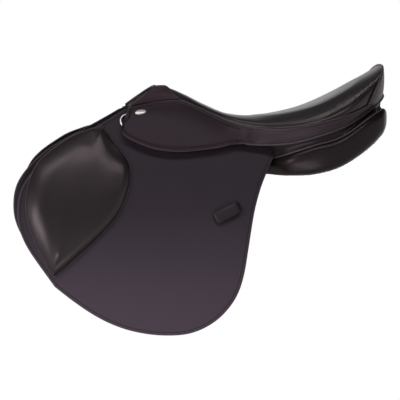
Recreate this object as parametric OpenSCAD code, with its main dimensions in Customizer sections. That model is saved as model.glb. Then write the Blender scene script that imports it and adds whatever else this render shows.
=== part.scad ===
// Jumping saddle, built up in layers on a spring tree.
// +X runs to the rear, +Y to the off side and +Z up.
// The origin is on the centre line, between the panels.

/* [Seat] */

// Length from the front of the pommel to the top of the cantle
seat_length = 410; // [396:1:424]
// Height of the pommel
pommel_height = 160; // [155:1:166]
// Height of the lowest point of the seat
dip_height = 108; // [105:1:112]
// Height of the cantle
cantle_height = 200; // [192:1:208]
// Width of the seat at the narrow part
twist_width = 94; // [90:1:100]
// Width of the seat at its widest
seat_width = 262; // [254:1:270]
// Thickness of the seat leather
seat_leather = 2; // [1.6:0.1:2.3]
// Thickness of the foam at the pommel and the cantle
foam_ends = 16; // [14:0.5:18]
// Thickness of the foam under the rider
foam_middle = 24; // [20:0.5:26]
// Thickness of the webbing that carries the foam
web_thickness = 2; // [1.6:0.1:2.2]

/* [Tree] */

// Thickness of the laminated tree
tree_thickness = 10; // [8:0.5:11]
// Thickness of the steel gullet plate
plate_thickness = 3; // [2:0.5:4]
// Thickness of the steel springs along the rails
spring_thickness = 1.5; // [1:0.1:2]
// Width of a tree point
point_width = 32; // [28:1:34]
// Thickness of a tree point
point_thickness = 7; // [6:0.5:7.5]

/* [Flaps] */

// Thickness of the flap leather
flap_leather = 4; // [3:0.25:4.5]
// Reach of the flap forward of the middle
flap_reach = 284; // [276:1:296]
// Drop of the flap below its bend
flap_drop = 297; // [285:1:310]
// Reach of the flap behind the middle
flap_rear = 118; // [112:1:126]
// Space between the flap and the sweat flap
strap_space = 14; // [13.5:0.25:16]
// Thickness of the sweat flap leather
sweat_leather = 3; // [2:0.25:3.5]
// Border by which the sweat flap is smaller than the flap
sweat_border = 9; // [7:1:14]
// Height of the knee pad at its middle
pad_height = 11; // [8:0.5:14]
// Height of the blocks under the flap
block_height = 9; // [6:0.5:10]

/* [Skirts] */

// Thickness of the skirt leather
skirt_leather = 3.5; // [2.5:0.25:4]
// Space between the flap and the skirt, for the stirrup bar
bar_space = 12; // [11.5:0.25:14]
// Drop of the skirt below its bend
skirt_drop = 42; // [36:1:43]

/* [Stirrup bars] */

// Length of the bar that takes the stirrup leather
bar_length = 76; // [64:1:80]
// Height of the bar
bar_height = 8; // [6:0.5:9]
// Thickness of the bar
bar_thickness = 4; // [3:0.25:4.25]
// Space behind the bar for the stirrup leather
leather_space = 6.5; // [5:0.25:6.75]
// Radius of the pin of the safety catch
catch_pin_r = 1.5; // [1:0.1:1.8]

/* [Girth straps] */

// Width of a girth strap
strap_width = 28; // [25:1:30]
// Thickness of a girth strap
strap_thickness = 4; // [3:0.25:4.5]
// Length of a girth strap from its pivot
strap_length = 215; // [190:1:225]
// Distance between two girth straps
strap_pitch = 50; // [47:1:52]
// Radius of a buckle hole
hole_r = 3; // [2:0.25:4]
// Distance between two buckle holes
hole_pitch = 24; // [20:1:25]
// Number of buckle holes in a strap
hole_count = 7; // [5:1:8]

/* [Panels] */

// Thickness of the panel leather
panel_leather = 2.5; // [2:0.1:3]
// Depth of the panel cushion under the rider
panel_depth = 50; // [46:1:54]
// Depth of the panel cushion at the front
panel_front_depth = 24; // [20:1:25]

/* [Fittings] */

// Radius of the wire of a dee
dee_wire_r = 1.75; // [1.25:0.05:1.9]
// Radius of the bend of a dee
dee_r = 12; // [10:0.5:14]
// Length of the keeper on the flap
keeper_length = 50; // [44:1:56]
// Width of the keeper on the flap
keeper_width = 20; // [16:1:24]
// Space under the keeper
keeper_space = 6; // [4:0.25:7]
// Width of a saddle nail head
nail_width = 10.5; // [8:0.5:13]

/* [Hidden] */

$fn = 64;

// Clearance between two pieces that lie on one another
clear = 0.3;
// Clearance of a shaped piece on a bowed one
rest = 0.5;

seat_colour = [0.10, 0.09, 0.10];
flap_colour = [0.22, 0.17, 0.20];
pad_colour = [0.12, 0.11, 0.12];
panel_colour = [0.14, 0.12, 0.13];
strap_colour = [0.16, 0.13, 0.13];
steel_colour = [0.75, 0.76, 0.78];
wood_colour = [0.62, 0.48, 0.33];
foam_colour = [0.88, 0.83, 0.66];
web_colour = [0.80, 0.78, 0.70];
flock_colour = [0.93, 0.91, 0.86];

function mix(a, b, k) = a + (b - a) * k;
function ease(k) = let (c = min(max(k, 0), 1)) c * c * (3 - 2 * c);
function unit(v) = v / norm(v);

// Smooth curve through the points p, at q from 0 to len(p) - 1
function curve(p, q) =
    let (n = len(p) - 1, i = min(floor(q), n - 1), t = q - i)
    let (a = p[max(i - 1, 0)], b = p[i], c = p[i + 1], d = p[min(i + 2, n)])
    b + (c - a) * t / 2 + (2 * a - 5 * b + 4 * c - d) * t * t / 2 + (3 * b - a - 3 * c + d) * t * t * t / 2;

// Points of the smooth curve through p, in even steps
function trace(p, steps) = [for (k = [0:steps]) curve(p, k * (len(p) - 1) / steps)];

// Normal of a grid of points at row i and column j
function grid_normal(g, i, j) =
    let (n = len(g) - 1, m = len(g[0]) - 1)
    unit(cross(g[min(i + 1, n)][j] - g[max(i - 1, 0)][j], g[i][min(j + 1, m)] - g[i][max(j - 1, 0)]));

// Grid moved by d along its normals
function lift(g, d) =
    [for (i = [0:len(g) - 1]) [for (j = [0:len(g[0]) - 1]) g[i][j] + d * grid_normal(g, i, j)]];

// Solid between two grids of the same size; keep says which cells are there
module shell(top, bottom, keep = function (i, j) true) {
    n = len(top);
    m = len(top[0]);
    there = function (i, j) i >= 0 && j >= 0 && i < n - 1 && j < m - 1 && keep(i, j);
    t = function (i, j) i * m + j;
    b = function (i, j) n * m + i * m + j;
    quad = function (p, q, r, s) [[p, q, r], [p, r, s]];
    cells = [for (i = [0:n - 2]) for (j = [0:m - 2]) if (there(i, j)) [i, j]];
    faces = [for (c = cells)
        let (i = c[0], j = c[1])
        each concat(
            quad(t(i, j), t(i, j + 1), t(i + 1, j + 1), t(i + 1, j)),
            quad(b(i, j), b(i + 1, j), b(i + 1, j + 1), b(i, j + 1)),
            there(i, j - 1) ? [] : quad(t(i, j), t(i + 1, j), b(i + 1, j), b(i, j)),
            there(i, j + 1) ? [] : quad(t(i + 1, j + 1), t(i, j + 1), b(i, j + 1), b(i + 1, j + 1)),
            there(i - 1, j) ? [] : quad(t(i, j + 1), t(i, j), b(i, j), b(i, j + 1)),
            there(i + 1, j) ? [] : quad(t(i + 1, j), t(i + 1, j + 1), b(i + 1, j + 1), b(i + 1, j)))];
    used = [for (i = [0:n - 1]) for (j = [0:m - 1])
        if (there(i, j) || there(i - 1, j) || there(i, j - 1) || there(i - 1, j - 1)) t(i, j)];
    place = [for (i = [0:n * m - 1]) let (k = search(i, used)) len(k) > 0 ? k[0] : -1];
    points = concat(
        [for (k = used) top[floor(k / m)][k % m]],
        [for (k = used) bottom[floor(k / m)][k % m]]);
    number = function (k) k < n * m ? place[k] : len(used) + place[k - n * m];
    polyhedron(points, [for (f = faces) [number(f[0]), number(f[1]), number(f[2])]], convexity = 6);
}

// Solid through a row of closed rings, with flat ends
module loft(rings) {
    n = len(rings);
    m = len(rings[0]);
    p = function (i, j) i * m + j % m;
    faces = concat(
        [[for (j = [0:m - 1]) p(0, j)]],
        [[for (j = [m - 1:-1:0]) p(n - 1, j)]],
        [for (i = [0:n - 2]) for (j = [0:m - 1])
            each [[p(i, j), p(i + 1, j), p(i + 1, j + 1)], [p(i, j), p(i + 1, j + 1), p(i, j + 1)]]]);
    outward = [for (f = faces) [for (k = [len(f) - 1:-1:0]) f[k]]];
    polyhedron([for (r = rings) for (q = r) q], outward, convexity = 6);
}

// Place of one side of the saddle: x along the bend of the flap, -y outwards and z up in it
bend_height = dip_height - 86;
side_tilt = 16;
side_splay = 6;
// Wall that the flap follows: bowed, leaning outwards towards its foot
wall_half_width = 100;
wall_lean = 24;
wall_bow = 1200;
wall_w = wall_half_width - wall_bow * cos(wall_lean);
wall_s = -wall_bow * sin(wall_lean);

// Half width of the layer d outside the flap's outer face, at height s
function wall(s, d) = wall_w + sqrt(pow(wall_bow + d, 2) - pow(s - wall_s, 2));
// Lean of that layer
function lean(s, d) = asin((s - wall_s) / (wall_bow + d));
// Point of the left side in the saddle's frame
function side_point(t, w, s) =
    let (x = t * cos(side_tilt) + s * sin(side_tilt), z = s * cos(side_tilt) - t * sin(side_tilt))
    [x * cos(side_splay) - w * sin(side_splay),
        -x * sin(side_splay) - w * cos(side_splay),
        z + bend_height];

module left_side()
    translate([0, 0, bend_height]) rotate([0, side_tilt, -side_splay]) children();

module right_side()
    mirror([0, 1, 0]) left_side() children();

// Frame on the wall: z up it, -y outwards
module on_wall(t, s, d)
    translate([t, -wall(s, d), s]) rotate([-lean(s, d), 0, 0]) children();

// Block on the wall, flat over its small height
module wall_block(t0, t1, s0, s1, d0, d1) {
    middle = (s0 + s1) / 2;
    height = (s1 - s0) / cos(lean(middle, 0));
    on_wall(0, middle, 0)
        translate([t0, -d1, -height / 2])
            cube([t1 - t0, d1 - d0, height]);
}

// Sheet of leather cut to an outline, between two layers of the wall
module wall_sheet(outline, d0, d1, s0, s1) {
    intersection() {
        translate([0, -wall_w, wall_s]) rotate([0, 90, 0]) difference() {
            cylinder(r = wall_bow + d1, h = 900, center = true, $fn = 256);
            cylinder(r = wall_bow + d0, h = 910, center = true, $fn = 256);
        }
        rotate([90, 0, 0]) linear_extrude(height = 420) polygon(outline);
        translate([-450, -430, s0]) cube([900, 440, s1 - s0]);
    }
}

// Padded piece on the wall: an outline, its foot at layer d0, a standing edge and a crown
module wall_pad(outline, d0, edge, crown, rise = 3) {
    n = len(outline);
    middle = [for (k = [0, 1]) mix(min([for (p = outline) p[k]]), max([for (p = outline) p[k]]), 0.5)];
    rings = [1, 0.9, 0.72, 0.48, 0.22];
    at = function (k, j, up)
        let (p = mix(middle, outline[j], rings[k]))
        let (d = up ? d0 + edge + crown * (1 - pow(rings[k], rise)) : d0)
        [p[0], -wall(p[1], d), p[1]];
    last = len(rings) - 1;
    points = concat(
        [for (k = [0:last]) for (j = [0:n - 1]) at(k, j, true)],
        [for (k = [0:last]) for (j = [0:n - 1]) at(k, j, false)],
        [for (d = [d0 + edge + crown, d0]) [middle[0], -wall(middle[1], d), middle[1]]]);
    peak = 2 * (last + 1) * n;
    top = function (k, j) k * n + j % n;
    foot = function (k, j) (last + 1) * n + k * n + j % n;
    faces = concat(
        [for (k = [0:last - 1]) for (j = [0:n - 1])
            each [
                [top(k, j), top(k + 1, j + 1), top(k, j + 1)],
                [top(k, j), top(k + 1, j), top(k + 1, j + 1)],
                [foot(k, j), foot(k, j + 1), foot(k + 1, j + 1)],
                [foot(k, j), foot(k + 1, j + 1), foot(k + 1, j)]]],
        [for (j = [0:n - 1]) each [[peak, top(last, j + 1), top(last, j)],
            [peak + 1, foot(last, j), foot(last, j + 1)]]],
        [for (j = [0:n - 1]) each [[top(0, j), top(0, j + 1), foot(0, j + 1)],
            [top(0, j), foot(0, j + 1), foot(0, j)]]]);
    polyhedron(points, [for (f = faces) [f[2], f[1], f[0]]], convexity = 6);
}

// Layers outwards from the flap's outer face
sweat_outer = -flap_leather - strap_space;
sweat_inner = sweat_outer - sweat_leather;
skirt_inner = bar_space;
skirt_outer = bar_space + skirt_leather;

// Seat: stations of the centre line (x, z) and of its edge (x, half width, z) from pommel to cantle
pommel_x = -82;
cantle_x = pommel_x + seat_length;
widest = seat_width / 2;
narrow = twist_width / 2;
seat_tuck = 7;
front_rise = pommel_height - dip_height;
rear_rise = cantle_height - dip_height;
seat_centre = [
    [pommel_x, pommel_height],
    [pommel_x + 24, pommel_height - 2],
    [pommel_x + 54, dip_height + 0.65 * front_rise],
    [pommel_x + 87, dip_height + 0.33 * front_rise],
    [pommel_x + 127, dip_height + 0.08 * front_rise],
    [cantle_x - 238, dip_height],
    [cantle_x - 188, dip_height + 0.055 * rear_rise],
    [cantle_x - 128, dip_height + 0.23 * rear_rise],
    [cantle_x - 60, dip_height + 0.57 * rear_rise],
    [cantle_x, cantle_height]];
seat_edge = [
    [pommel_x - 52, narrow + 13, pommel_height - 38],
    [pommel_x + 4, narrow + 1, pommel_height - 28],
    [pommel_x + 42, narrow, pommel_height - 26],
    [pommel_x + 84, narrow + 10, dip_height + 9],
    [pommel_x + 124, narrow + 23, dip_height - 9],
    [cantle_x - 240, mix(narrow, widest, 0.52), dip_height - 21],
    [cantle_x - 186, widest - 12, dip_height - 23],
    [cantle_x - 130, widest, dip_height - 11],
    [cantle_x - 80, widest - 9, mix(dip_height, cantle_height, 0.02)],
    [cantle_x - 40, widest - 36, mix(dip_height, cantle_height, 0.2)]];
seat_last = len(seat_centre) - 1;
seat_round = 0.83;

function seat_c(u) = curve(seat_centre, u * seat_last);
function seat_e(u) = curve(seat_edge, u * seat_last);

// Top of the seat: u from pommel to cantle, v across from -1 to 1
function seat_top(u, v) =
    let (c = seat_c(u), e = seat_e(u), k = pow(max(cos(90 * v), 0), seat_round))
    [mix(e[0], c[0], k), sign(v) * e[1] * pow(abs(sin(90 * v)), seat_round), mix(e[2], c[1], k)];

// Underside of the foam, lowered by drop
function seat_base(u, v, drop) =
    let (c = seat_c(u), e = seat_e(u), k = pow(max(cos(90 * v), 0), seat_round))
    let (foam = mix(foam_ends, foam_middle, pow(sin(180 * u), 2)), n = pow(abs(sin(90 * v)), seat_round))
    let (arch = mix(1 - n * n, k, ease((u - 0.6) / 0.3)))
    [mix(e[0], c[0], k), sign(v) * (e[1] - seat_tuck) * n, mix(e[2] - 3, c[1] - foam, arch) - drop];

// All layers of the seat share the same rows, 0 to seat_rows, and columns, -seat_half to seat_half
seat_rows = 24;
seat_half = 5;
function seat_grid(rows, half) =
    [for (i = rows) [for (j = [-half:half]) seat_top(i / seat_rows, j / seat_half)]];
function base_grid(rows, columns, drop) =
    [for (i = rows) [for (j = columns) seat_base(i / seat_rows, j / seat_half, drop)]];

foam_rows = concat([for (i = [1:seat_rows - 1]) i], [seat_rows - 0.4]);
web_drop = clear;
tree_drop = web_drop + web_thickness + rest;
tree_foot = tree_drop + tree_thickness;

module seat_cover() {
    top = seat_grid([0:seat_rows], seat_half);
    color(seat_colour) shell(top, lift(top, -seat_leather));
}

module seat_foam() {
    top = lift(seat_grid(foam_rows, seat_half), -seat_leather - 1.5 * rest);
    bottom = base_grid(foam_rows, [-seat_half:seat_half], 0);
    color(foam_colour) shell(top, bottom);
}

module seat_webbing() {
    top = base_grid([3:20], [-3:3], web_drop);
    bottom = base_grid([3:20], [-3:3], web_drop + web_thickness);
    color(web_colour) shell(top, bottom);
}

// Ledge of the tree that carries the stirrup bar, the flap and the girth webs
ledge_low = 52;
ledge_high = 82;
ledge_front = -98;
ledge_rear = 30;
ledge_inner = -flap_leather - 12;
ledge_outer = -flap_leather - clear;
// Tree points, which slide into the pockets of the panels
point_rear = -108;
point_front = point_rear - point_width;
point_foot = 5;
point_outer = -flap_leather - 3.5;
point_inner = point_outer - point_thickness;

module tree_side() {
    wall_block(ledge_front, ledge_rear, ledge_low, ledge_high, ledge_inner, ledge_outer);
    wall_block(point_front, point_rear, point_foot, 63, point_inner, point_outer);
    wall_block(point_front, ledge_front + 4, ledge_low + 2, 63, ledge_inner, point_outer);
}

module tree() {
    top = base_grid([1:seat_rows - 1], [-seat_half:seat_half], tree_drop);
    bottom = base_grid([1:seat_rows - 1], [-seat_half:seat_half], tree_foot);
    color(wood_colour) union() {
        shell(top, bottom, function (i, j) i > 17 ? j > 1 && j < 8 : i < 4 || j < 3 || j > 6);
        left_side() tree_side();
        right_side() tree_side();
    }
}

module gullet_plate() {
    top = base_grid([1:4], [-3:3], tree_foot + clear);
    bottom = base_grid([1:4], [-3:3], tree_foot + clear + plate_thickness);
    color(steel_colour) shell(top, bottom);
}

module tree_spring(columns) {
    top = base_grid([6:17], columns, tree_foot + rest);
    bottom = base_grid([6:17], columns, tree_foot + rest + spring_thickness);
    color(steel_colour) shell(top, bottom);
}

module tree_spring_left() tree_spring([-3:-2]);
module tree_spring_right() tree_spring([2:3]);

// Leather that closes the front of the pommel, under the edge of the seat leather
module pommel_facing() {
    half = 2;
    top = lift(seat_grid([0.02, 1], half), -seat_leather - 2 * rest);
    low = base_grid([0.02], [-half:half], tree_foot + 4);
    front = [for (i = [0:2]) [for (j = [0:2 * half]) mix(low[0][j], top[0][j], i / 2)]];
    color(flap_colour) shell(front, lift(front, -1.5));
}

// Skirt: bend of the leaf, and the line from which the fixed part stands
skirt_bend = 48;
skirt_front = -150;
skirt_end = 38;
skirt_share = 0.444;
skirt_top_end = 0.485;
band_stand = skirt_leather + 0.8;

// Point of the fixed part of the skirt, e inside its face:
// u along the seat's edge, q from the bend of the leaf to the seat
function skirt_top_point(u, q, e = 0) =
    let (edge = seat_e(u), a = [edge[0], 0.85 * e - edge[1] - band_stand, edge[2] - 0.6 - 0.53 * e])
    let (k = u / skirt_share, t = mix(skirt_front, skirt_end, k))
    let (past = max(t - skirt_end, 0), s = skirt_bend + clear + 0.55 * past)
    let (lay = skirt_outer - 0.12 * past, b = side_point(t, wall(s, lay - e), s), n = lean(s, lay))
    let (rise = 30 * (1 - ease((k - 0.6) / 0.5)) + 8, up = rise * mix(0.3, 1, ease(k / 0.3)))
    let (w = wall(s, lay) - up * sin(n) - e * cos(n))
    let (m = side_point(t, w, s + up * cos(n) - e * sin(n)))
    (1 - q) * (1 - q) * b + 2 * q * (1 - q) * m + q * q * a;

module skirt_top_side() {
    nu = 14;
    nq = 3;
    face = function (e)
        [for (i = [0:nu]) [for (j = [0:nq]) skirt_top_point(skirt_top_end * i / nu, j / nq, e)]];
    color(flap_colour) shell(face(0), face(skirt_leather));
}

module skirt_top_left() skirt_top_side();
module skirt_top_right() mirror([0, 1, 0]) skirt_top_side();

skirt_low = skirt_bend - skirt_drop;
skirt_outline = trace([
    [skirt_end + 2, skirt_bend + 1],
    [15, skirt_low + 30],
    [-34, skirt_low + 10],
    [-68, skirt_low + 2],
    [-95, skirt_low],
    [-123, skirt_low + 3],
    [skirt_front + 9, skirt_low + 7.5],
    [skirt_front + 3, skirt_low + 14],
    [skirt_front, skirt_bend - 10],
    [skirt_front, skirt_bend + 1]], 30);

module skirt_leaf() {
    color(flap_colour)
        wall_sheet(skirt_outline, skirt_inner, skirt_outer, skirt_low - 5, skirt_bend - clear);
}

module skirt_left() left_side() skirt_leaf();
module skirt_right() right_side() skirt_leaf();

// Band round the rear of the seat: k from the left skirt, round the cantle, to the right skirt (0 to 3)
band_low = [
    [cantle_x - 262, -96, dip_height - 48],
    [cantle_x - 225, 4 - mix(narrow, widest, 0.667), dip_height - 50],
    [cantle_x - 179, 14 - widest, dip_height - 42],
    [cantle_x - 131, 2 - widest, dip_height - 29],
    [cantle_x - 87, 9 - widest, dip_height - 15],
    [cantle_x - 49, 33 - widest, dip_height + 2],
    [cantle_x - 22, -70, dip_height + 20],
    [cantle_x - 10, -38, dip_height + 33],
    [cantle_x - 6, 0, dip_height + 39]];
function flip(p) = [p[0], -p[1], p[2]];
function band_top_point(k) =
    let (u = mix(skirt_top_end + 0.005, 1, k), e = seat_e(min(u, 1)), v = 2 * (k - 1) - 1)
    let (p = k < 1 ? [e[0], -e[1], e[2]] : seat_top(1, v))
    let (out = k < 1 ? [0, -1, 0] : [cos(90 * v), sin(90 * v), 0])
    p + (band_stand + 1.6 * ease((k - 0.5) / 0.5)) * out - [0, 0, 0.6];
function band_point(k, q) =
    k > 1.5 ? flip(band_point(3 - k, q)) :
    let (a = band_top_point(k), b = curve(band_low, k / 1.5 * (len(band_low) - 1)))
    let (v = min(max(2 * (k - 1) - 1, -1), 1), m = (a + b) / 2 + 4 * [cos(90 * v), sin(90 * v), 0])
    (1 - q) * (1 - q) * b + 2 * q * (1 - q) * m + q * q * a;

module cantle_band() {
    nk = 32;
    nq = 3;
    outer = [for (i = [0:nk]) [for (j = [0:nq]) band_point(3 * i / nk, j / nq)]];
    color(flap_colour) shell(outer, lift(outer, -skirt_leather));
}

// Flap: outline in the plane of the side, then the two leaves that its bend divides
flap_top_edge = 56;
// Outline of the flap, drawn in by e
function flap_shape(e) = concat(
    trace([
        [e - 146, 70],
        [e - 204, 8 - e / 2],
        [e + 22 - flap_reach, -55],
        [e - flap_reach, -0.42 * flap_drop],
        [0.9 * e + 17 - flap_reach, 0.4 * e - 0.64 * flap_drop],
        [0.4 * e + 99 - flap_reach, e + 32 - flap_drop]], 16),
    trace([
        [0.4 * e + 100 - flap_reach, e + 31 - flap_drop],
        [184 - flap_reach, e + 8 - flap_drop],
        [-8, e - flap_drop],
        [flap_rear - 34 - 0.7 * e, 0.7 * e + 42 - flap_drop],
        [flap_rear - e, 127 - flap_drop],
        [flap_rear - 8 - e, -48],
        [flap_rear + 7 - e, 70]], 20));
flap_outline = flap_shape(0);

module flap_leaf()
    color(flap_colour) wall_sheet(flap_outline, -flap_leather, 0, -flap_drop - 20, -clear / 2);

module flap_top()
    color(flap_colour) wall_sheet(flap_outline, -flap_leather, 0, clear / 2, flap_top_edge);

module flap_left() left_side() flap_leaf();
module flap_right() right_side() flap_leaf();
module flap_top_left() left_side() flap_top();
module flap_top_right() right_side() flap_top();

sweat_outline = flap_shape(sweat_border);
sweat_top_edge = 28;

module sweat_leaf()
    color(panel_colour) wall_sheet(sweat_outline, sweat_inner, sweat_outer, -flap_drop, -clear / 2);

module sweat_top()
    color(panel_colour) wall_sheet(sweat_outline, sweat_inner, sweat_outer, clear / 2, sweat_top_edge);

module sweat_flap_left() left_side() sweat_leaf();
module sweat_flap_right() right_side() sweat_leaf();
module sweat_flap_top_left() left_side() sweat_top();
module sweat_flap_top_right() right_side() sweat_top();

// Knee pad sewn on the flap, cut off at the flap's bend
pad_outline = [for (p = concat(
    trace([[-183, 17], [-155, -5], [-121, -32], [-110, -74], [-120, -133], [-160, -205], [-190, -250]], 14),
    trace([[-194, -250], [-244, -197], [-274, -142], [-275, -77], [-239, -22], [-206, 6], [-187, 17]], 14)))
    [p[0] - flap_reach + 284, min(p[1], -1.5)]];

module knee_pad()
    color(pad_colour) wall_pad(pad_outline, rest, 3, pad_height - 3);

module knee_pad_left() left_side() knee_pad();
module knee_pad_right() right_side() knee_pad();

// Keeper sewn on the flap at both ends, with a raised middle
keeper_leather = 2.5;
keeper_slope = 42;
loop_half = 12;

module keeper() {
    half = keeper_length / 2;
    ceiling = keeper_space + clear;
    tab = keeper_leather + clear;
    right_half = [
        [loop_half - 2, ceiling],
        [loop_half, clear],
        [half, clear],
        [half, tab],
        [loop_half + 2, tab],
        [loop_half, ceiling + keeper_leather]];
    left_half = [for (k = [len(right_half) - 1:-1:0]) [-right_half[k][0], right_half[k][1]]];
    profile = concat(right_half, left_half);
    color(strap_colour)
        on_wall(flap_rear - 51, -65, 0) rotate([0, -keeper_slope, 0])
            translate([0, 0, -keeper_width / 2]) linear_extrude(height = keeper_width)
                polygon([for (p = profile) [p[0], -p[1]]]);
}

module keeper_left() left_side() keeper();
module keeper_right() right_side() keeper();

// Blocks on the sweat flap, which keep the rider's leg in place
front_block_outline = concat(
    trace([[-150, -30], [-122, -60], [-118, -110], [-140, -165], [-176, -205]], 10),
    trace([[-184, -205], [-226, -170], [-250, -120], [-240, -70], [-196, -32], [-158, -26]], 10));
rear_block_outline = [for (p = concat(
    trace([[-18, -52], [-13, -60], [-12, -110], [-12, -165]], 8),
    trace([[-16, -176], [-26, -176], [-31, -150], [-33, -100], [-27, -54]], 8)))
    [p[0] + flap_rear, p[1]]];

module front_block()
    color(panel_colour) wall_pad(front_block_outline, sweat_outer + rest, 2, block_height - 2);

module rear_block()
    color(panel_colour) wall_pad(rear_block_outline, sweat_outer + rest, 2, block_height - 2);

module front_block_left() left_side() front_block();
module front_block_right() right_side() front_block();
module rear_block_left() left_side() rear_block();
module rear_block_right() right_side() rear_block();

// Pocket sewn on the panel's side, open at the top, for the tree point
pocket_wall = 1.8;

module point_pocket()
    color(panel_colour) difference() {
        wall_block(point_front - rest - pocket_wall, point_rear + rest + pocket_wall, 1.2, 30,
            point_inner - rest - pocket_wall, point_outer + rest + pocket_wall);
        wall_block(point_front - rest, point_rear + rest, 1.2 + pocket_wall, 40,
            point_inner - rest, point_outer + rest);
    }

module point_pocket_left() left_side() point_pocket();
module point_pocket_right() right_side() point_pocket();

// Stirrup bar: a plate on the tree, an arm out of it and a bar open to the rear
bar_front = -92;
bar_end = bar_front + bar_length;
bar_low = 42;
bar_outer = leather_space + bar_thickness;
plate_low = flap_top_edge + 3;
plate_high = 73;
arm_high = plate_low + 3;
lap = 12;
catch_t = bar_end + lap / 2;
catch_s = bar_low + bar_height / 2;
catch_split = leather_space + bar_thickness * 0.48;
rivet_r = 3;

module catch_axis(d)
    on_wall(catch_t, catch_s, 0) translate([0, -d, 0]) rotate([90, 0, 0]) children();

module stirrup_bar()
    color(steel_colour) difference() {
        union() {
            wall_block(bar_front, bar_end, plate_low, plate_high, -flap_leather, -rest);
            wall_block(bar_front, bar_front + 12, plate_low, arm_high, -1.5, bar_outer);
            wall_block(bar_front, bar_front + 12, bar_low, arm_high, leather_space, bar_outer);
            wall_block(bar_front, bar_end, bar_low, bar_low + bar_height, leather_space, bar_outer);
            wall_block(bar_end - 1, bar_end + lap, bar_low, bar_low + bar_height,
                leather_space, catch_split);
        }
        catch_axis(0) cylinder(r = catch_pin_r + clear, h = 20);
    }

module stirrup_bar_left() left_side() stirrup_bar();
module stirrup_bar_right() right_side() stirrup_bar();

module rivets()
    for (k = [0.35, 0.62, 0.88])
        on_wall(mix(bar_front, bar_end, k), (plate_low + plate_high) / 2, 0)
            translate([0, rest - 0.2, 0]) rotate([90, 0, 0])
                cylinder(r1 = rivet_r, r2 = rivet_r - 1, h = 1.5);

module bar_rivets()
    color(steel_colour) {
        left_side() rivets();
        right_side() rivets();
    }

module catch_tongue()
    color(steel_colour) catch_axis(catch_split + clear) difference() {
        union() {
            cylinder(r = bar_height / 2 - 0.2, h = bar_outer - catch_split - clear);
            translate([0, 0.5 - bar_height / 2, 0])
                cube([lap / 2 + 9, bar_height - 1, bar_outer - catch_split - clear]);
        }
        translate([0, 0, -1]) cylinder(r = catch_pin_r + clear, h = 20);
    }

module catch_left() left_side() catch_tongue();
module catch_right() right_side() catch_tongue();

module catch_pin()
    catch_axis(leather_space + 0.2) cylinder(r = catch_pin_r, h = bar_thickness - 0.4);

module catch_pins()
    color(steel_colour) {
        left_side() catch_pin();
        right_side() catch_pin();
    }

// Girth webs nailed under the tree, and the straps that hang from them
strap_middle = -35;
web_foot = 2.6;
billet_pivot = -strap_width / 2 - 0.4;
billet_centre = -118;
billet_layer = -flap_leather - strap_space / 2 - 2.2;
billet_rake = atan(tan(side_tilt) / cos(lean(billet_centre, billet_layer)));

module girth_webs()
    for (k = [-1:1]) {
        front = strap_middle + k * strap_pitch - strap_width / 2;
        wall_block(front, front + strap_width, web_foot, ledge_low - 2 * rest,
            -flap_leather - 8, -flap_leather - 5);
    }

module girth_webs_left() color(web_colour) left_side() girth_webs();
module girth_webs_right() color(web_colour) right_side() girth_webs();

// Outline of a strap that hangs from the origin, with a tapered tip and a row of holes
module billet_outline() {
    half = strap_width / 2;
    tip_start = 10 - strap_length;
    first_hole = 24 - strap_length;
    difference() {
        union() {
            circle(r = half);
            translate([-half, tip_start]) square([strap_width, -tip_start]);
            polygon([[-half, tip_start + 0.1], [8 - half, -strap_length], [half - 8, -strap_length],
                [half, tip_start + 0.1]]);
        }
        for (i = [0:hole_count - 1])
            translate([0, first_hole + i * hole_pitch]) circle(r = hole_r);
    }
}

module billet(k) {
    pivot_above = (billet_pivot - billet_centre) / cos(lean(billet_centre, billet_layer));
    color(strap_colour)
        on_wall(strap_middle + k * strap_pitch, billet_centre, billet_layer)
            translate([0, strap_thickness / 2, pivot_above])
                rotate([90, 0, 0]) rotate([0, 0, billet_rake])
                    linear_extrude(height = strap_thickness) billet_outline();
}

module billet_front_left() left_side() billet(-1);
module billet_middle_left() left_side() billet(0);
module billet_rear_left() left_side() billet(1);
module billet_front_right() right_side() billet(-1);
module billet_middle_right() right_side() billet(0);
module billet_rear_right() right_side() billet(1);

// Panels: stations x, half width, height, half length, half depth and tilt of the cushion's section
function hug(x, z, depth) =
    let (s = x * cos(side_splay) * sin(side_tilt) + 62 * sin(side_splay) * sin(side_tilt)
        + (z - bend_height) * cos(side_tilt))
    (wall(s, sweat_inner) + x * sin(side_splay)) / cos(side_splay) - (depth + 1.3) / cos(lean(s, 0));
front_half = panel_front_depth / 2;
rear_half = panel_depth / 2;
panel_end = cantle_x + 2;
panel_base = dip_height - 77;
panel_stations = [
    [-140, hug(-140, panel_base + 39, front_half - 6), panel_base + 39, 20, front_half - 6, 64],
    [-124, hug(-124, panel_base + 35, front_half - 2), panel_base + 35, 36, front_half - 2, 64],
    [-85, hug(-85, panel_base + 31, front_half), panel_base + 31, 42, front_half, 64],
    [-40, hug(-40, panel_base + 24, front_half), panel_base + 24, 43, front_half, 63],
    [5, hug(5, panel_base + 16, front_half + 1), panel_base + 16, 41, front_half + 1, 62],
    [45, hug(45, panel_base + 9, front_half + 2) - 2, panel_base + 9, 39, front_half + 2, 58],
    [80, 42, panel_base + 4, 36, mix(front_half, rear_half, 0.35), 52],
    [112, 44, panel_base + 1, 35, mix(front_half, rear_half, 0.6), 38],
    [145, 72, panel_base, 42, mix(front_half, rear_half, 0.85), 22],
    [190, 81, panel_base + 2, 44, rear_half, 12],
    [235, 80, panel_base + 12, 43, rear_half, 8],
    [cantle_x - 50, 72, panel_base + 35, 39, rear_half + 1, 4],
    [cantle_x - 18, 63, panel_base + 59, 32, rear_half, 0],
    [panel_end, 54, panel_base + 75, 18, rear_half - 11, 0]];

// Sine or cosine drawn out towards the corners of a cushion's section
function squared(c) = sign(c) * pow(abs(c), 0.72);

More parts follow.
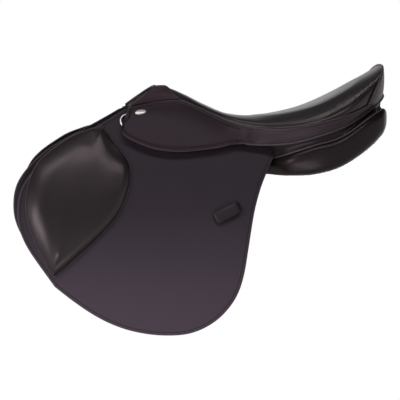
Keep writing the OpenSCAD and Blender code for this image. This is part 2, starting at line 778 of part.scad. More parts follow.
// Point of the left panel's section at angle a, moved outwards by e
function panel_point(q, a, e) =
    let (s = curve(panel_stations, q))
    let (p = (s[3] + e) * squared(cos(a)), r = (s[4] + e) * squared(sin(a)))
    [s[0], -(s[1] + p * cos(s[5]) + r * sin(s[5])), s[2] - p * sin(s[5]) + r * cos(s[5])];
function panel_rings(q0, q1, nq, na, e) =
    [for (i = [0:nq]) [for (j = [0:na - 1]) panel_point(mix(q0, q1, i / nq), 360 * j / na, e)]];
panel_last = len(panel_stations) - 1;

module panel()
    color(panel_colour) difference() {
        loft(panel_rings(0, panel_last, 20, 16, 0));
        loft(panel_rings(0.25, panel_last - 0.25, 14, 12, -panel_leather));
    }

module flock()
    color(flock_colour) loft(panel_rings(0.29, panel_last - 0.29, 14, 12, -panel_leather - rest));

module panel_left() panel();
module panel_right() mirror([0, 1, 0]) panel();
module panel_flock_left() flock();
module panel_flock_right() mirror([0, 1, 0]) flock();

// Gusset that joins the rear of a panel to the band
gusset_leather = 2.5;

module gusset() {
    n = 14;
    foot = [for (i = [0:n]) panel_point(mix(7.4, 11.6, i / n), 48, 2.3)];
    head = [for (i = [0:n]) band_point(mix(0.2, 1.03, i / n), 0) + [0, 1.2, -0.6]];
    outer = [for (i = [0:n]) [foot[i], mix(foot[i], head[i], 0.5), head[i]]];
    color(panel_colour) shell(outer, lift(outer, -gusset_leather));
}

module panel_gusset_left() gusset();
module panel_gusset_right() mirror([0, 1, 0]) gusset();

// Leather that joins the two panels over the gullet, at the front and at the rear
module bridge(q0, q1, angle, rise) {
    n = 4;
    m = 8;
    top = [for (i = [0:n])
        let (a = panel_point(mix(q0, q1, i / n), angle, 1.8))
        [for (j = [0:m]) let (v = 2 * j / m - 1) [a[0], -a[1] * v, a[2] + rise * (1 - v * v)]]];
    color(panel_colour) shell(top, lift(top, -2));
}

module panel_bridge_front() bridge(0.6, 2.1, 172, 8);
module panel_bridge_rear() bridge(10.6, 12.6, 128, 6);

// Front dees, each in a chape nailed on the flap's top
dee_t = -145;
dee_s = 39;
chape_leather = 1.2;
chape_r = dee_wire_r + clear + chape_leather;
chape_width = 14;
dee_layer = chape_r + rest;

module dee()
    color(steel_colour) on_wall(dee_t, dee_s, dee_layer) union() {
        cylinder(r = dee_wire_r, h = 2 * dee_r, center = true);
        rotate([90, 0, 0]) rotate([0, 0, 90]) rotate_extrude(angle = 180)
            translate([dee_r, 0]) circle(r = dee_wire_r);
        translate([0, 0, dee_r]) sphere(r = dee_wire_r);
        translate([0, 0, -dee_r]) sphere(r = dee_wire_r);
    }

module dee_chape()
    color(strap_colour) on_wall(dee_t, dee_s, dee_layer) difference() {
        union() {
            cylinder(r = chape_r, h = chape_width, center = true);
            translate([0, chape_r - chape_leather, -chape_width / 2])
                cube([26, chape_leather, chape_width]);
        }
        cylinder(r = dee_wire_r + clear, h = 20, center = true);
    }

module dee_left() left_side() dee();
module dee_right() right_side() dee();
module dee_chape_left() left_side() dee_chape();
module dee_chape_right() right_side() dee_chape();

// Nail heads that hold the front corners of the skirts
module nail() {
    u = 0.055;
    q = 0.36;
    reach = nail_width / 2;
    half = nail_width / 2 - 1;
    p = skirt_top_point(u, q);
    along = skirt_top_point(u + 0.01, q) - skirt_top_point(u - 0.01, q);
    n = unit(cross(along, skirt_top_point(u, q + 0.02) - skirt_top_point(u, q - 0.02)));
    translate(p + rest * n)
        rotate([0, acos(n[2]), atan2(n[1], n[0])]) rotate([0, 0, 60]) {
            translate([-half, 0, 0]) cylinder(r1 = reach, r2 = reach - 1.2, h = 2);
            translate([half, 0, 0]) cylinder(r1 = reach, r2 = reach - 1.2, h = 2);
            translate([-half, 1.2 - reach, 0]) cube([2 * half, nail_width - 2.4, 2]);
        }
}

module saddle_nails()
    color(steel_colour) {
        nail();
        mirror([0, 1, 0]) nail();
    }

tree();
gullet_plate();
tree_spring_left();
tree_spring_right();
seat_webbing();
seat_foam();
seat_cover();
pommel_facing();
cantle_band();
skirt_top_left();
skirt_top_right();
skirt_left();
skirt_right();
stirrup_bar_left();
stirrup_bar_right();
bar_rivets();
catch_left();
catch_right();
catch_pins();
flap_top_left();
flap_top_right();
flap_left();
flap_right();
knee_pad_left();
knee_pad_right();
keeper_left();
keeper_right();
sweat_flap_top_left();
sweat_flap_top_right();
sweat_flap_left();
sweat_flap_right();
front_block_left();
front_block_right();
rear_block_left();
rear_block_right();
point_pocket_left();
point_pocket_right();
panel_left();
panel_right();
panel_flock_left();
panel_flock_right();
panel_gusset_left();
panel_gusset_right();
panel_bridge_front();
panel_bridge_rear();
girth_webs_left();
girth_webs_right();
billet_front_left();
billet_middle_left();
billet_rear_left();
billet_front_right();
billet_middle_right();
billet_rear_right();
dee_chape_left();
dee_chape_right();
dee_left();
dee_right();
saddle_nails();
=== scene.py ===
import bmesh
import bpy
import numpy as np
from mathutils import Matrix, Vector


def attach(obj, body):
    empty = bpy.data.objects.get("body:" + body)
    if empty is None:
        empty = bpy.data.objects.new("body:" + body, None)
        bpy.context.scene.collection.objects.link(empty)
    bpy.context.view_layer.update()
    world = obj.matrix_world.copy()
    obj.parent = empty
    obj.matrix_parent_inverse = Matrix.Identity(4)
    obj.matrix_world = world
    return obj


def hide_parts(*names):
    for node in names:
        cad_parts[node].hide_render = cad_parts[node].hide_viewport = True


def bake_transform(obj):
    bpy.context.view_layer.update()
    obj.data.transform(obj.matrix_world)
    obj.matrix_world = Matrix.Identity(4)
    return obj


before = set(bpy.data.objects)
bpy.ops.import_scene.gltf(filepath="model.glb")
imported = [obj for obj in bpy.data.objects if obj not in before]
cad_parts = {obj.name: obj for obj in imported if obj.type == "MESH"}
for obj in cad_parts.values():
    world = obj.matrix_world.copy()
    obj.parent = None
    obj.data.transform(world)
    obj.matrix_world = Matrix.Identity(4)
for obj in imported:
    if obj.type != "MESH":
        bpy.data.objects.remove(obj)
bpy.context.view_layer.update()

# Studio: a pale floor well below the saddle, white walls under a grey ceiling, a strip lamp high in
# front, one on the left, and small ones over the seat, low in front and behind. The lens is long.
scene = bpy.context.scene
scene.view_settings.view_transform = "Standard"
camera_turn, camera_rise = np.radians(-6.4), np.radians(3.2)
camera_distance = 4.0
camera_aim = Vector((-0.0003, 0.0, -0.0445))
picture_width = 0.72
camera_back = Vector((
    np.sin(camera_turn) * np.cos(camera_rise),
    -np.cos(camera_turn) * np.cos(camera_rise),
    np.sin(camera_rise)))
camera = bpy.data.objects.new("camera", bpy.data.cameras.new("camera"))
camera.location = camera_aim + camera_distance * camera_back
camera.rotation_euler = camera_back.to_track_quat("Z", "Y").to_euler()
camera.data.angle = 2 * np.arctan(picture_width / 2 / camera_distance)
scene.collection.objects.link(camera)
scene.camera = camera


def add_node(tree, kind, settings=None, inputs=None):
    """Adds a shader node. An input, by name or number, takes a value or another node's output."""
    made = tree.nodes.new("ShaderNode" + kind)
    for name, value in (settings or {}).items():
        setattr(made, name, value)
    for name, value in (inputs or {}).items():
        socket = made.inputs[name]
        if isinstance(value, bpy.types.NodeSocket):
            tree.links.new(value, socket)
        else:
            socket.default_value = value
    return made


def calc(tree, operation, *terms):
    """Result of one sum on numbers or outputs."""
    return add_node(tree, "Math", {"operation": operation}, dict(enumerate(terms))).outputs[0]


def ramp(tree, value, start, end, low=0.0, high=1.0):
    """Smooth step of a value: low up to start, high from end on."""
    return add_node(tree, "MapRange", {"interpolation_type": "SMOOTHSTEP"}, {
        "Value": value, "From Min": start, "From Max": end, "To Min": low, "To Max": high}).outputs[0]


def object_place(tree):
    """Place on the piece in metres."""
    return add_node(tree, "TexCoord").outputs["Object"]


def seen_directly(tree):
    """1 for the camera's rays and for mirrored or bent ones, 0 for the light that falls on things."""
    path = add_node(tree, "LightPath").outputs
    mirrored = calc(tree, "MAXIMUM", path["Is Glossy Ray"], path["Is Transmission Ray"])
    return calc(tree, "MAXIMUM", path["Is Camera Ray"], mirrored)


def new_finish(name, colour, roughness, metallic=0.0, gloss=0.5):
    """New material with the values that are the same all over set on its shader."""
    material = bpy.data.materials.new(name)
    material.use_nodes = True
    shader = material.node_tree.nodes["Principled BSDF"]
    shader.inputs["Base Color"].default_value = (*colour, 1.0)
    shader.inputs["Roughness"].default_value = roughness
    shader.inputs["Metallic"].default_value = metallic
    shader.inputs["Specular IOR Level"].default_value = gloss
    return material, material.node_tree, shader


room_light, ceiling = 0.09, 0.12
walls_end, ceiling_start = 0.18, 0.50
world = bpy.data.worlds.new("white_room")
world.use_nodes = True
scene.world = world
room = world.node_tree
sky = room.nodes["Background"]
sky.inputs["Color"].default_value = (1.0, 1.0, 1.0, 1.0)
look = add_node(room, "TexCoord").outputs["Generated"]
look_up = add_node(room, "SeparateXYZ", inputs={0: look}).outputs["Z"]
walls = ramp(room, look_up, walls_end, ceiling_start, 1.0, ceiling)
seen = calc(room, "MULTIPLY_ADD", seen_directly(room), 1.0 - room_light, room_light)
behind = add_node(room, "LightPath").outputs["Is Camera Ray"]
room.links.new(calc(room, "MAXIMUM", behind, calc(room, "MULTIPLY", seen, walls)), sky.inputs["Strength"])

floor_height, floor_half = -0.62, 9.0
shadow_reach, white_from, shadow_share = 1.0, 1.7, 0.7
floor_mesh = bpy.data.meshes.new("floor")
floor_mesh.from_pydata(
    [(x * floor_half, y * floor_half, floor_height) for x, y in ((-1, -1), (1, -1), (1, 1), (-1, 1))],
    [], [(0, 1, 2, 3)])
floor = bpy.data.objects.new("floor", floor_mesh)
scene.collection.objects.link(floor)
floor_white, floor_tree, floor_shader = new_finish("floor_white", (0.9, 0.9, 0.9), 0.9)
floor_glow = add_node(floor_tree, "Emission", inputs={"Color": (1.0, 1.0, 1.0, 1.0), "Strength": 1.0})
floor_away = add_node(floor_tree, "VectorMath", {"operation": "LENGTH"}, {0: object_place(floor_tree)})
floor_pale = ramp(floor_tree, floor_away.outputs["Value"], shadow_reach, white_from, shadow_share, 1.0)
floor_share = calc(floor_tree, "MULTIPLY", seen_directly(floor_tree), floor_pale)
floor_mix = add_node(floor_tree, "MixShader", inputs={
    0: floor_share, 1: floor_shader.outputs[0], 2: floor_glow.outputs[0]})
floor_tree.links.new(floor_mix.outputs[0], floor_tree.nodes["Material Output"].inputs["Surface"])
floor_mesh.materials.append(floor_white)

for lamp_name, place, width, height, watts in (
        ("lamp_above", (-0.3, -1.35, 1.9), 3.0, 0.32, 33.0),
        ("lamp_top", (0.05, 0.70, 2.18), 0.8, 0.18, 3.5),
        ("lamp_left", (-2.2, -1.5, 0.35), 0.6, 0.8, 24.0),
        ("lamp_low", (-0.15, -0.9, -0.55), 0.9, 0.25, 5.0),
        ("lamp_behind", (0.4, 1.7, -0.5), 1.6, 0.4, 14.0)):
    light = bpy.data.lights.new(lamp_name, "AREA")
    light.shape, light.size, light.size_y, light.energy = "RECTANGLE", width, height, watts
    lamp = bpy.data.objects.new(lamp_name, light)
    lamp.location = place
    lamp.rotation_euler = (Vector(place) - camera_aim).to_track_quat("Z", "Y").to_euler()
    lamp.visible_camera = False
    scene.collection.objects.link(lamp)


# Tree: rails, head and points of laminated beech, a steel plate over the arch and a spring steel
# strip under each rail. It keeps its CAD shape, with its edges broken by sandpaper.
def tint(tree, share, first, second):
    """Colour between two, by a share from 0 to 1."""
    return add_node(tree, "Mix", {"data_type": "RGBA"}, {0: share, 6: first, 7: second}).outputs[2]


def noise(tree, place, scale, detail=3.0, distortion=0.0):
    """Soft noise from 0 to 1, with scale spots in a metre."""
    return add_node(tree, "TexNoise", inputs={
        "Vector": place, "Scale": scale, "Detail": detail, "Distortion": distortion}).outputs[0]


def bump(tree, shader, height, depth, strength=1.0):
    """Relief of a finish: a height from 0 to 1, depth metres high."""
    relief = add_node(tree, "Bump", inputs={"Height": height, "Distance": depth, "Strength": strength})
    tree.links.new(relief.outputs[0], shader.inputs["Normal"])


def beech():
    """Laminated beech: long growth lines along the rails, thin glue lines between the layers."""
    light, dark, glue = (0.50, 0.33, 0.18, 1.0), (0.36, 0.21, 0.10, 1.0), (0.20, 0.11, 0.05, 1.0)
    material, tree, shader = new_finish("beech", light[:3], 0.5)
    place = object_place(tree)
    drawn = add_node(tree, "Mapping", inputs={"Vector": place, "Scale": (0.12, 1.0, 1.0)}).outputs[0]
    lines = noise(tree, drawn, 260.0, 5.0, 0.4)
    layer = add_node(tree, "TexWave", {"bands_direction": "Z"}, {
        "Vector": place, "Scale": 130.0, "Distortion": 0.6, "Detail": 1.0}).outputs[1]
    wood = tint(tree, lines, light, dark)
    glued = ramp(tree, layer, 0.06, 0.0)
    tree.links.new(tint(tree, glued, wood, glue), shader.inputs["Base Color"])
    tree.links.new(ramp(tree, lines, 0.0, 1.0, 0.42, 0.6), shader.inputs["Roughness"])
    bump(tree, shader, lines, 0.0002)
    return material


def steel(name, colour, roughness):
    """Polished steel with fine scratches and a few dull spots."""
    material, tree, shader = new_finish(name, colour, roughness, metallic=1.0)
    place = object_place(tree)
    scratched = add_node(tree, "Mapping", inputs={"Vector": place, "Scale": (1.0, 1.0, 0.06)}).outputs[0]
    scratches = noise(tree, scratched, 2600.0, 2.0)
    dull = noise(tree, place, 70.0, 4.0)
    worn = calc(tree, "MULTIPLY_ADD", dull, 0.18, calc(tree, "MULTIPLY", scratches, 0.08))
    tree.links.new(calc(tree, "ADD", worn, roughness - 0.1), shader.inputs["Roughness"])
    bump(tree, shader, scratches, 0.00004)
    return material


def keep_cad(material, edge, *names):
    """CAD nodes that stay: their triangles are welded and their edges rounded by modifiers."""
    for name in names:
        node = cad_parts[name]
        node.data.materials.clear()
        node.data.materials.append(material)
        weld = node.modifiers.new("weld", "WELD")
        weld.merge_threshold = 0.00001
        rounded = node.modifiers.new("rounded", "BEVEL")
        rounded.width, rounded.segments = edge, 2
        rounded.limit_method, rounded.angle_limit = "ANGLE", np.radians(35)


def each_side(*names):
    """Names of the left and the right of each piece."""
    return [f"{name}_{side}" for name in names for side in ("left", "right")]


plain_steel = steel("plain_steel", (0.50, 0.50, 0.51), 0.34)
keep_cad(beech(), 0.0012, "tree")
keep_cad(plain_steel, 0.0004, "gullet_plate", *each_side("tree_spring"))


# Webbing: flax webs strained over the tree under the seat, and three girth webs nailed below
# each ledge. The warp runs along the web and the weft across it.
def webbing():
    """Plain weave: threads 1.6 mm wide, warp over weft and weft over warp by turns."""
    pale, dark, thread = (0.46, 0.41, 0.31, 1.0), (0.24, 0.20, 0.14, 1.0), 0.0016
    material, tree, shader = new_finish("webbing", pale[:3], 0.9, gloss=0.2)
    part = add_node(tree, "SeparateXYZ", inputs={0: object_place(tree)}).outputs
    across = calc(tree, "SINE", calc(tree, "MULTIPLY", part["X"], np.pi / thread))
    upright = calc(tree, "ADD", part["Z"], part["Y"])
    along = calc(tree, "SINE", calc(tree, "MULTIPLY", upright, np.pi / thread))
    weave = calc(tree, "MULTIPLY_ADD", calc(tree, "MULTIPLY", across, along), 0.5, 0.5)
    tree.links.new(tint(tree, weave, dark, pale), shader.inputs["Base Color"])
    bump(tree, shader, weave, 0.0006)
    return material


keep_cad(webbing(), 0.0004, "seat_webbing", *each_side("girth_webs"))

# Seat: foam shaped from the pommel to the cantle under a smooth black leather that is strained
# over it and sewn to the skirts and the band along its edge. The seam carries a welt.
MM = 0.001
seat_centre = np.array([
    (-82, 160), (-58, 159.5), (-28, 147), (5, 130), (45, 114.2),
    (90, 108.4), (140, 113.1), (200, 129.2), (268, 162.6), (325, 200)], float)
seat_edge = np.array([
    (-134, 60, 122), (-78, 48, 132), (-40, 47, 134), (2, 57, 117), (42, 70, 99),
    (88, 90.7, 87), (142, 119, 85), (198, 131, 97), (248, 122, 109.8), (288, 95, 126.4)], float)
seat_tuck, edge_drop = 7.0, 3.0
foam_ends, foam_middle = 16.0, 24.0


def curve(points, q):
    """Smooth curve through the points at q from 0 to the last one: a cubic in each span, whose
    slope at a point is half the step between that point's neighbours."""
    points, q = np.asarray(points, float), np.asarray(q, float)
    last = len(points) - 1
    i = np.clip(np.floor(q).astype(int), 0, last - 1)
    t = (q - i)[..., None]
    a, b, c, d = points[np.maximum(i - 1, 0)], points[i], points[i + 1], points[np.minimum(i + 2, last)]
    return (b + (c - a) * t / 2 + (2 * a - 5 * b + 4 * c - d) * t ** 2 / 2
            + (3 * b - a - 3 * c + d) * t ** 3 / 2)


def ease(k):
    """Smooth step from 0 to 1."""
    k = np.clip(k, 0.0, 1.0)
    return k * k * (3 - 2 * k)


def mix(a, b, k):
    """From a to b by the share k."""
    return a + (b - a) * k


def mesh_grid(first, second):
    """Every pair of two rows of values, as two grids."""
    return np.meshgrid(np.asarray(first, float), np.asarray(second, float), indexing="ij")


def along_seat(points, u):
    """Smooth curve through the points of the seat's centre or edge, u from pommel (0) to cantle (1)."""
    return curve(points, u * (len(points) - 1))


def seat_share(u, v):
    """Centre and edge of the seat at u, how much of the centre a point at v takes, and how far out
    it lies. The arch is fuller in the middle of the seat than at its ends."""
    fullness = 0.83 - 0.10 * (1 - np.abs(2 * u - 1) ** 4)
    return (along_seat(seat_centre, u), along_seat(seat_edge, u),
            np.maximum(np.cos(np.pi / 2 * v), 0) ** fullness, np.abs(np.sin(np.pi / 2 * v)) ** fullness)


def seat_top(u, v):
    """Top of the seat, u from pommel to cantle, v from -1 across to 1: a rounded arch whose
    crown is on the centre line and whose feet are on the edge."""
    c, e, k, n = seat_share(u, v)
    y = np.sign(v) * e[..., 1] * n
    return np.stack([mix(e[..., 0], c[..., 0], k), y, mix(e[..., 2], c[..., 1], k)], -1)


def seat_base(u, v):
    """Underside of the foam: the same arch, thinner by the foam and drawn in at its feet."""
    c, e, k, n = seat_share(u, v)
    foam = mix(foam_ends, foam_middle, np.sin(np.pi * u) ** 2)
    arch = mix(1 - n * n, k, ease((u - 0.6) / 0.3))
    y = np.sign(v) * (e[..., 1] - seat_tuck) * n
    return np.stack([mix(e[..., 0], c[..., 0], k), y, mix(e[..., 2] - edge_drop, c[..., 1] - foam, arch)], -1)


def surface(name, grid, ring=False, facing=None, uv=None, sharp=60.0):
    """Object of quads between the neighbours of a grid of points (rows, columns) in millimetres.
    A ring joins its last column to its first. Points that meet are merged. The faces of a closed
    form point outwards, those of an open one to the side that facing gives."""
    rows, columns = grid.shape[:2]
    index = np.arange(rows * columns).reshape(rows, columns)
    index = np.hstack([index, index[:, :1]]) if ring else index
    quads = np.stack([index[:-1, :-1], index[1:, :-1], index[1:, 1:], index[:-1, 1:]], -1).reshape(-1, 4)
    mesh = bpy.data.meshes.new(name)
    mesh.from_pydata((grid.reshape(-1, 3) * MM).tolist(), [], quads.tolist())
    if uv is not None:
        layer = mesh.uv_layers.new(name="edge")
        corner = np.zeros(len(mesh.loops), int)
        mesh.loops.foreach_get("vertex_index", corner)
        layer.data.foreach_set("uv", (uv.reshape(-1, 2)[corner] * MM).astype(np.float32).ravel())
    form = bmesh.new()
    form.from_mesh(mesh)
    bmesh.ops.remove_doubles(form, verts=form.verts, dist=0.000002)
    bmesh.ops.dissolve_degenerate(form, edges=form.edges, dist=0.000001)
    bmesh.ops.recalc_face_normals(form, faces=form.faces)
    if facing is not None:
        look = Vector(facing)
        if sum(face.normal.dot(look) * face.calc_area() for face in form.faces) < 0:
            bmesh.ops.reverse_faces(form, faces=form.faces)
    form.to_mesh(mesh)
    form.free()
    mesh.polygons.foreach_set("use_smooth", np.ones(len(mesh.polygons), bool))
    mesh.set_sharp_from_angle(angle=np.radians(sharp))
    piece = bpy.data.objects.new(name, mesh)
    scene.collection.objects.link(piece)
    return piece


def put_on(piece, material, body, slot, *nodes):
    """Gives a piece its finish and its body, and hides the CAD nodes that it stands for. The slot is not
    used.
    """
    piece.data.materials.append(material)
    if nodes:
        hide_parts(*nodes)
    if body:
        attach(piece, body)
    return piece


def tube(name, path, radius, across, ends=True, sides=10):
    """Round welt along a path: each ring stands square to the path, measured from the direction
    across. The ends close in half a ball."""
    path = np.asarray(path, float)
    radius = np.broadcast_to(np.asarray(radius, float), path.shape[:1])
    along = np.gradient(path, axis=0)
    along /= np.linalg.norm(along, axis=1, keepdims=True)
    if ends:
        turn = np.linspace(0, np.pi / 2, 4)[:-1]
        head = path[:1] - along[:1] * (radius[0] * np.cos(turn))[:, None]
        tail = path[-1:] + along[-1:] * (radius[-1] * np.cos(turn[::-1]))[:, None]
        path = np.vstack([head, path, tail])
        along = np.vstack([np.repeat(along[:1], 3, 0), along, np.repeat(along[-1:], 3, 0)])
        radius = np.hstack([radius[0] * np.sin(turn), radius, radius[-1] * np.sin(turn[::-1])])
    side = np.cross(along, np.asarray(across, float))
    side /= np.linalg.norm(side, axis=1, keepdims=True)
    up = np.cross(side, along)
    angle = np.linspace(0, 2 * np.pi, sides, endpoint=False)
    grid = path[:, None] + radius[:, None, None] * (
        np.cos(angle)[:, None] * side[:, None] + np.sin(angle)[:, None] * up[:, None])
    if not ends:
        grid = np.concatenate([grid, grid[:1]])
    return surface(name, grid, ring=True)


def face_normals(grid):
    """Directions square to a grid of points, one unit long: its step along the rows crossed with
    its step along the columns."""
    square = np.cross(np.gradient(grid, axis=0), np.gradient(grid, axis=1))
    return square / (np.linalg.norm(square, axis=-1, keepdims=True) + 1e-9)


def gap_to(places, points):
    """Distance of each place from the nearest of the points."""
    return np.sqrt(((places[:, None] - points[None]) ** 2).sum(-1)).min(1)


def swell(piece, held, cap, pressure=4.0, frames=20, evened=8):
    """Stuffs a pad: its leather is simulated as cloth under pressure, held where held is 1. The
    moves are evened out between neighbours, as thick leather does, and none is longer than cap.
    The result is kept in the mesh."""
    count = len(piece.data.vertices)
    rest = np.zeros(count * 3)
    piece.data.vertices.foreach_get("co", rest)
    rest = rest.reshape(-1, 3)
    pins = piece.vertex_groups.new(name="held")
    fixed = held(rest / MM)
    pins.add(np.flatnonzero(fixed).tolist(), 1.0, "REPLACE")
    cloth = piece.modifiers.new("stuffing", "CLOTH")
    settings = cloth.settings
    settings.quality, settings.mass = 6, 0.3
    settings.use_pressure, settings.uniform_pressure_force = True, pressure
    settings.vertex_group_mass = "held"
    settings.tension_stiffness = settings.compression_stiffness = 18.0
    settings.shear_stiffness, settings.bending_stiffness = 8.0, 2.0
    settings.effector_weights.gravity = 0.0
    cloth.collision_settings.use_collision = False
    cloth.point_cache.frame_start, cloth.point_cache.frame_end = 1, frames
    for step in range(1, frames + 1):
        scene.frame_set(step)
    stuffed = piece.evaluated_get(bpy.context.evaluated_depsgraph_get()).data
    place = np.zeros(count * 3)
    stuffed.vertices.foreach_get("co", place)
    move = place.reshape(-1, 3) - rest
    pairs = np.zeros(len(piece.data.edges) * 2, int)
    piece.data.edges.foreach_get("vertices", pairs)
    one, other = pairs.reshape(-1, 2).T
    shared = np.maximum(np.bincount(pairs, minlength=count), 1)[:, None]
    for _ in range(evened):
        total = np.zeros_like(move)
        np.add.at(total, one, move[other])
        np.add.at(total, other, move[one])
        move = mix(move, total / shared, 0.6) * ~fixed[:, None]
    far = np.linalg.norm(move, axis=1, keepdims=True)
    move *= np.minimum(1.0, cap * MM / np.maximum(far, 1e-9))
    piece.modifiers.remove(cloth)
    piece.vertex_groups.remove(pins)
    scene.frame_set(1)
    piece.data.vertices.foreach_set("co", (rest + move).ravel())
    piece.data.update()


def shade(colour, times):
    """Colour made that many times as light."""
    return tuple(times * value for value in colour)


def leather(name, colour, roughness, gloss, pore=1.1, relief=0.00005, edge=None, stitches=(), crease=(),
            foot_painted_light=0.0, sheen=(1.0, 1.0, 1.0)):
    """Leather: pores that run into each other, soft folds, and a colour that wanders a little.
    The wax on it gives what it mirrors, seen square on, the tint sheen.
    On a piece with the map of its edge (length along it, distance from it) the cut edge has its
    own colour, a crease is pressed in and stitches lie in rows, at distances in millimetres. The
    edge colour is a dye where it is darker than the leather, and a painted highlight of the rounded
    edge where it is lighter. Painted light: the colour is paler from the bend down to the foot, by
    the given share, for the light that falls more on the lower part."""
    material, tree, shader = new_finish(name, colour, roughness, gloss=gloss)
    shader.inputs["Specular Tint"].default_value = (*sheen, 1.0)
    place = object_place(tree)
    wander = noise(tree, place, 11.0, 4.0)
    folds = noise(tree, place, 95.0, 5.0, 0.8)
    pores = add_node(tree, "TexVoronoi", {"feature": "DISTANCE_TO_EDGE"}, {
        "Vector": place, "Scale": 1000.0 / pore}).outputs["Distance"]
    folded = calc(tree, "MULTIPLY", folds, 0.45)
    height = calc(tree, "MULTIPLY_ADD", ramp(tree, pores, 0.0, 0.22), 0.55, folded)
    dye = tint(tree, wander, (*shade(colour, 0.78), 1.0), (*shade(colour, 1.22), 1.0))
    # Painted light: paler towards the foot, where more light falls.
    if foot_painted_light:
        low = ramp(tree, add_node(tree, "SeparateXYZ", inputs={0: place}).outputs["Z"], 0.02, -0.24)
        dye = tint(tree, low, dye, (*shade(colour, 1 + foot_painted_light), 1.0))
    shine = calc(tree, "MULTIPLY_ADD", wander, 0.12, roughness - 0.06)
    shine = calc(tree, "MULTIPLY_ADD", folds, 0.08, calc(tree, "SUBTRACT", shine, 0.04))
    ridge, thread_dye, stitch = 8.0, (0.045, 0.037, 0.042, 1.0), 3.6
    if edge or stitches or crease:
        chart = add_node(tree, "UVMap", {"uv_map": "edge"}).outputs[0]
        part = add_node(tree, "SeparateXYZ", inputs={0: chart}).outputs
        length = calc(tree, "MULTIPLY", part["X"], 1000.0)
        inside = calc(tree, "MULTIPLY", part["Y"], 1000.0)
    # Where the edge colour is lighter than the leather it is a painted highlight of the rounded edge; where
    # darker, a dye.
    if edge:
        dye = tint(tree, ramp(tree, calc(tree, "ABSOLUTE", inside), 1.6, 0.3), dye, (*edge, 1.0))
    for distance in crease:
        off = calc(tree, "ABSOLUTE", calc(tree, "SUBTRACT", inside, distance))
        groove = ramp(tree, off, 0.0, 0.9)
        height = calc(tree, "MULTIPLY_ADD", groove, ridge, height)
        dye = tint(tree, groove, (*shade(colour, 0.45), 1.0), dye)
    for distance in stitches:
        off = calc(tree, "ABSOLUTE", calc(tree, "SUBTRACT", inside, distance))
        row = ramp(tree, off, 0.75, 0.35)
        turn = calc(tree, "FRACT", calc(tree, "MULTIPLY", length, 1 / stitch))
        step = calc(tree, "ABSOLUTE", calc(tree, "SUBTRACT", turn, 0.5))
        thread = calc(tree, "MULTIPLY", row, ramp(tree, step, 0.42, 0.34))
        height = calc(tree, "MULTIPLY_ADD", thread, ridge, height)
        dye = tint(tree, thread, dye, thread_dye)
    tree.links.new(dye, shader.inputs["Base Color"])
    tree.links.new(shine, shader.inputs["Roughness"])
    bump(tree, shader, height, relief)
    return material


warm_wax, smooth_relief = (1.0, 0.80, 0.86), 0.00002
seat_black = leather("seat_black", (0.0090, 0.0065, 0.0065), 0.30, 0.31, pore=0.8,
                     relief=smooth_relief, sheen=warm_wax)
# The welts and pipings are black leather, coloured lighter than the seat as a painted highlight along them.
welt_painted_highlight = leather("welt_painted_highlight", (0.0300, 0.0210, 0.0250), 0.40, 0.28, pore=0.9)
seat_swell, seat_slack = 3.0, 0.7
seat_across, seat_length = np.linspace(-1, 1, 49), np.linspace(0, 1, 97)
seat_u, seat_v = mesh_grid(seat_length, seat_across)
foam_base, seat_face = seat_base(seat_u, seat_v), seat_top(seat_u, seat_v)
seat_sunk = seat_slack * seat_swell * (1 - seat_v[..., None] ** 8)
seat_face = seat_face - seat_sunk * face_normals(seat_face)
seat_heart = (seat_face + foam_base) / 2
seat_belt = np.concatenate([seat_face, foam_base[:, ::-1]], 1)
seat_shut = np.concatenate([seat_heart, seat_heart[:, ::-1]], 1)
seat = surface("seat", np.concatenate([seat_shut[:1], seat_belt, seat_shut[-1:]]), ring=True)


def seat_held(place):
    """The edge and the underside of the seat stay where they are sewn and glued."""
    glued_within, sewn_within = 9.0, 6.0
    rim = np.vstack([seat_top(seat_length[::2], np.full(49, k)) for k in (-1.0, 1.0)]
                    + [seat_top(np.full(49, k), seat_across) for k in (0.0, 1.0)])
    glued = gap_to(place, foam_base[::4, ::4].reshape(-1, 3)) < glued_within
    return glued | (gap_to(place, rim) < sewn_within)


swell(seat, seat_held, seat_swell, evened=30)
put_on(seat, seat_black, "saddle", "seat_leather", "seat_cover", "seat_foam")

welt_stand, welt_drop, welt_size = 1.6, 0.4, 1.9
welt_count, cantle_v = 120, np.linspace(-1, 1, 61)[1:-1]


def round_rear(v):
    """Outward direction round the cantle, from the left (v -1) over the rear to the right (v 1)."""
    return np.stack([np.cos(np.pi / 2 * v), np.sin(np.pi / 2 * v), np.zeros_like(v)], -1)


welt_left = along_seat(seat_edge, np.linspace(0, 1, welt_count)) * (1, -1, 1)
welt_cantle = seat_top(np.ones_like(cantle_v), cantle_v)
welt_path = np.vstack([welt_left, welt_cantle, (welt_left * (1, -1, 1))[::-1]])
left_out = np.tile((0.0, -1.0, 0.0), (welt_count, 1))
welt_out = np.vstack([left_out, round_rear(cantle_v), -left_out])
welt_rear = np.pad(np.sin(np.linspace(0, np.pi, len(cantle_v))), welt_count)[:, None]
welt_path = (welt_path + (welt_stand - 0.4 * welt_rear) * welt_out
             - (welt_drop + 0.8 * welt_rear) * (0, 0, 1))
seat_welt = tube("seat_welt", welt_path, welt_size - 0.3 * welt_rear[:, 0], (0, 0, 1))
put_on(seat_welt, welt_painted_highlight, "saddle", "seat_leather")

# Pommel: a cap of matt flap leather is sewn over the front of the seat and bound along the arch.
# Under the binding a thin facing closes the arch in front of the head of the tree. It is coloured
# near black as painted shade of the recess there.
flap_brown = (0.0185, 0.0135, 0.0185)
skirt_brown = (0.0190, 0.0105, 0.0155)
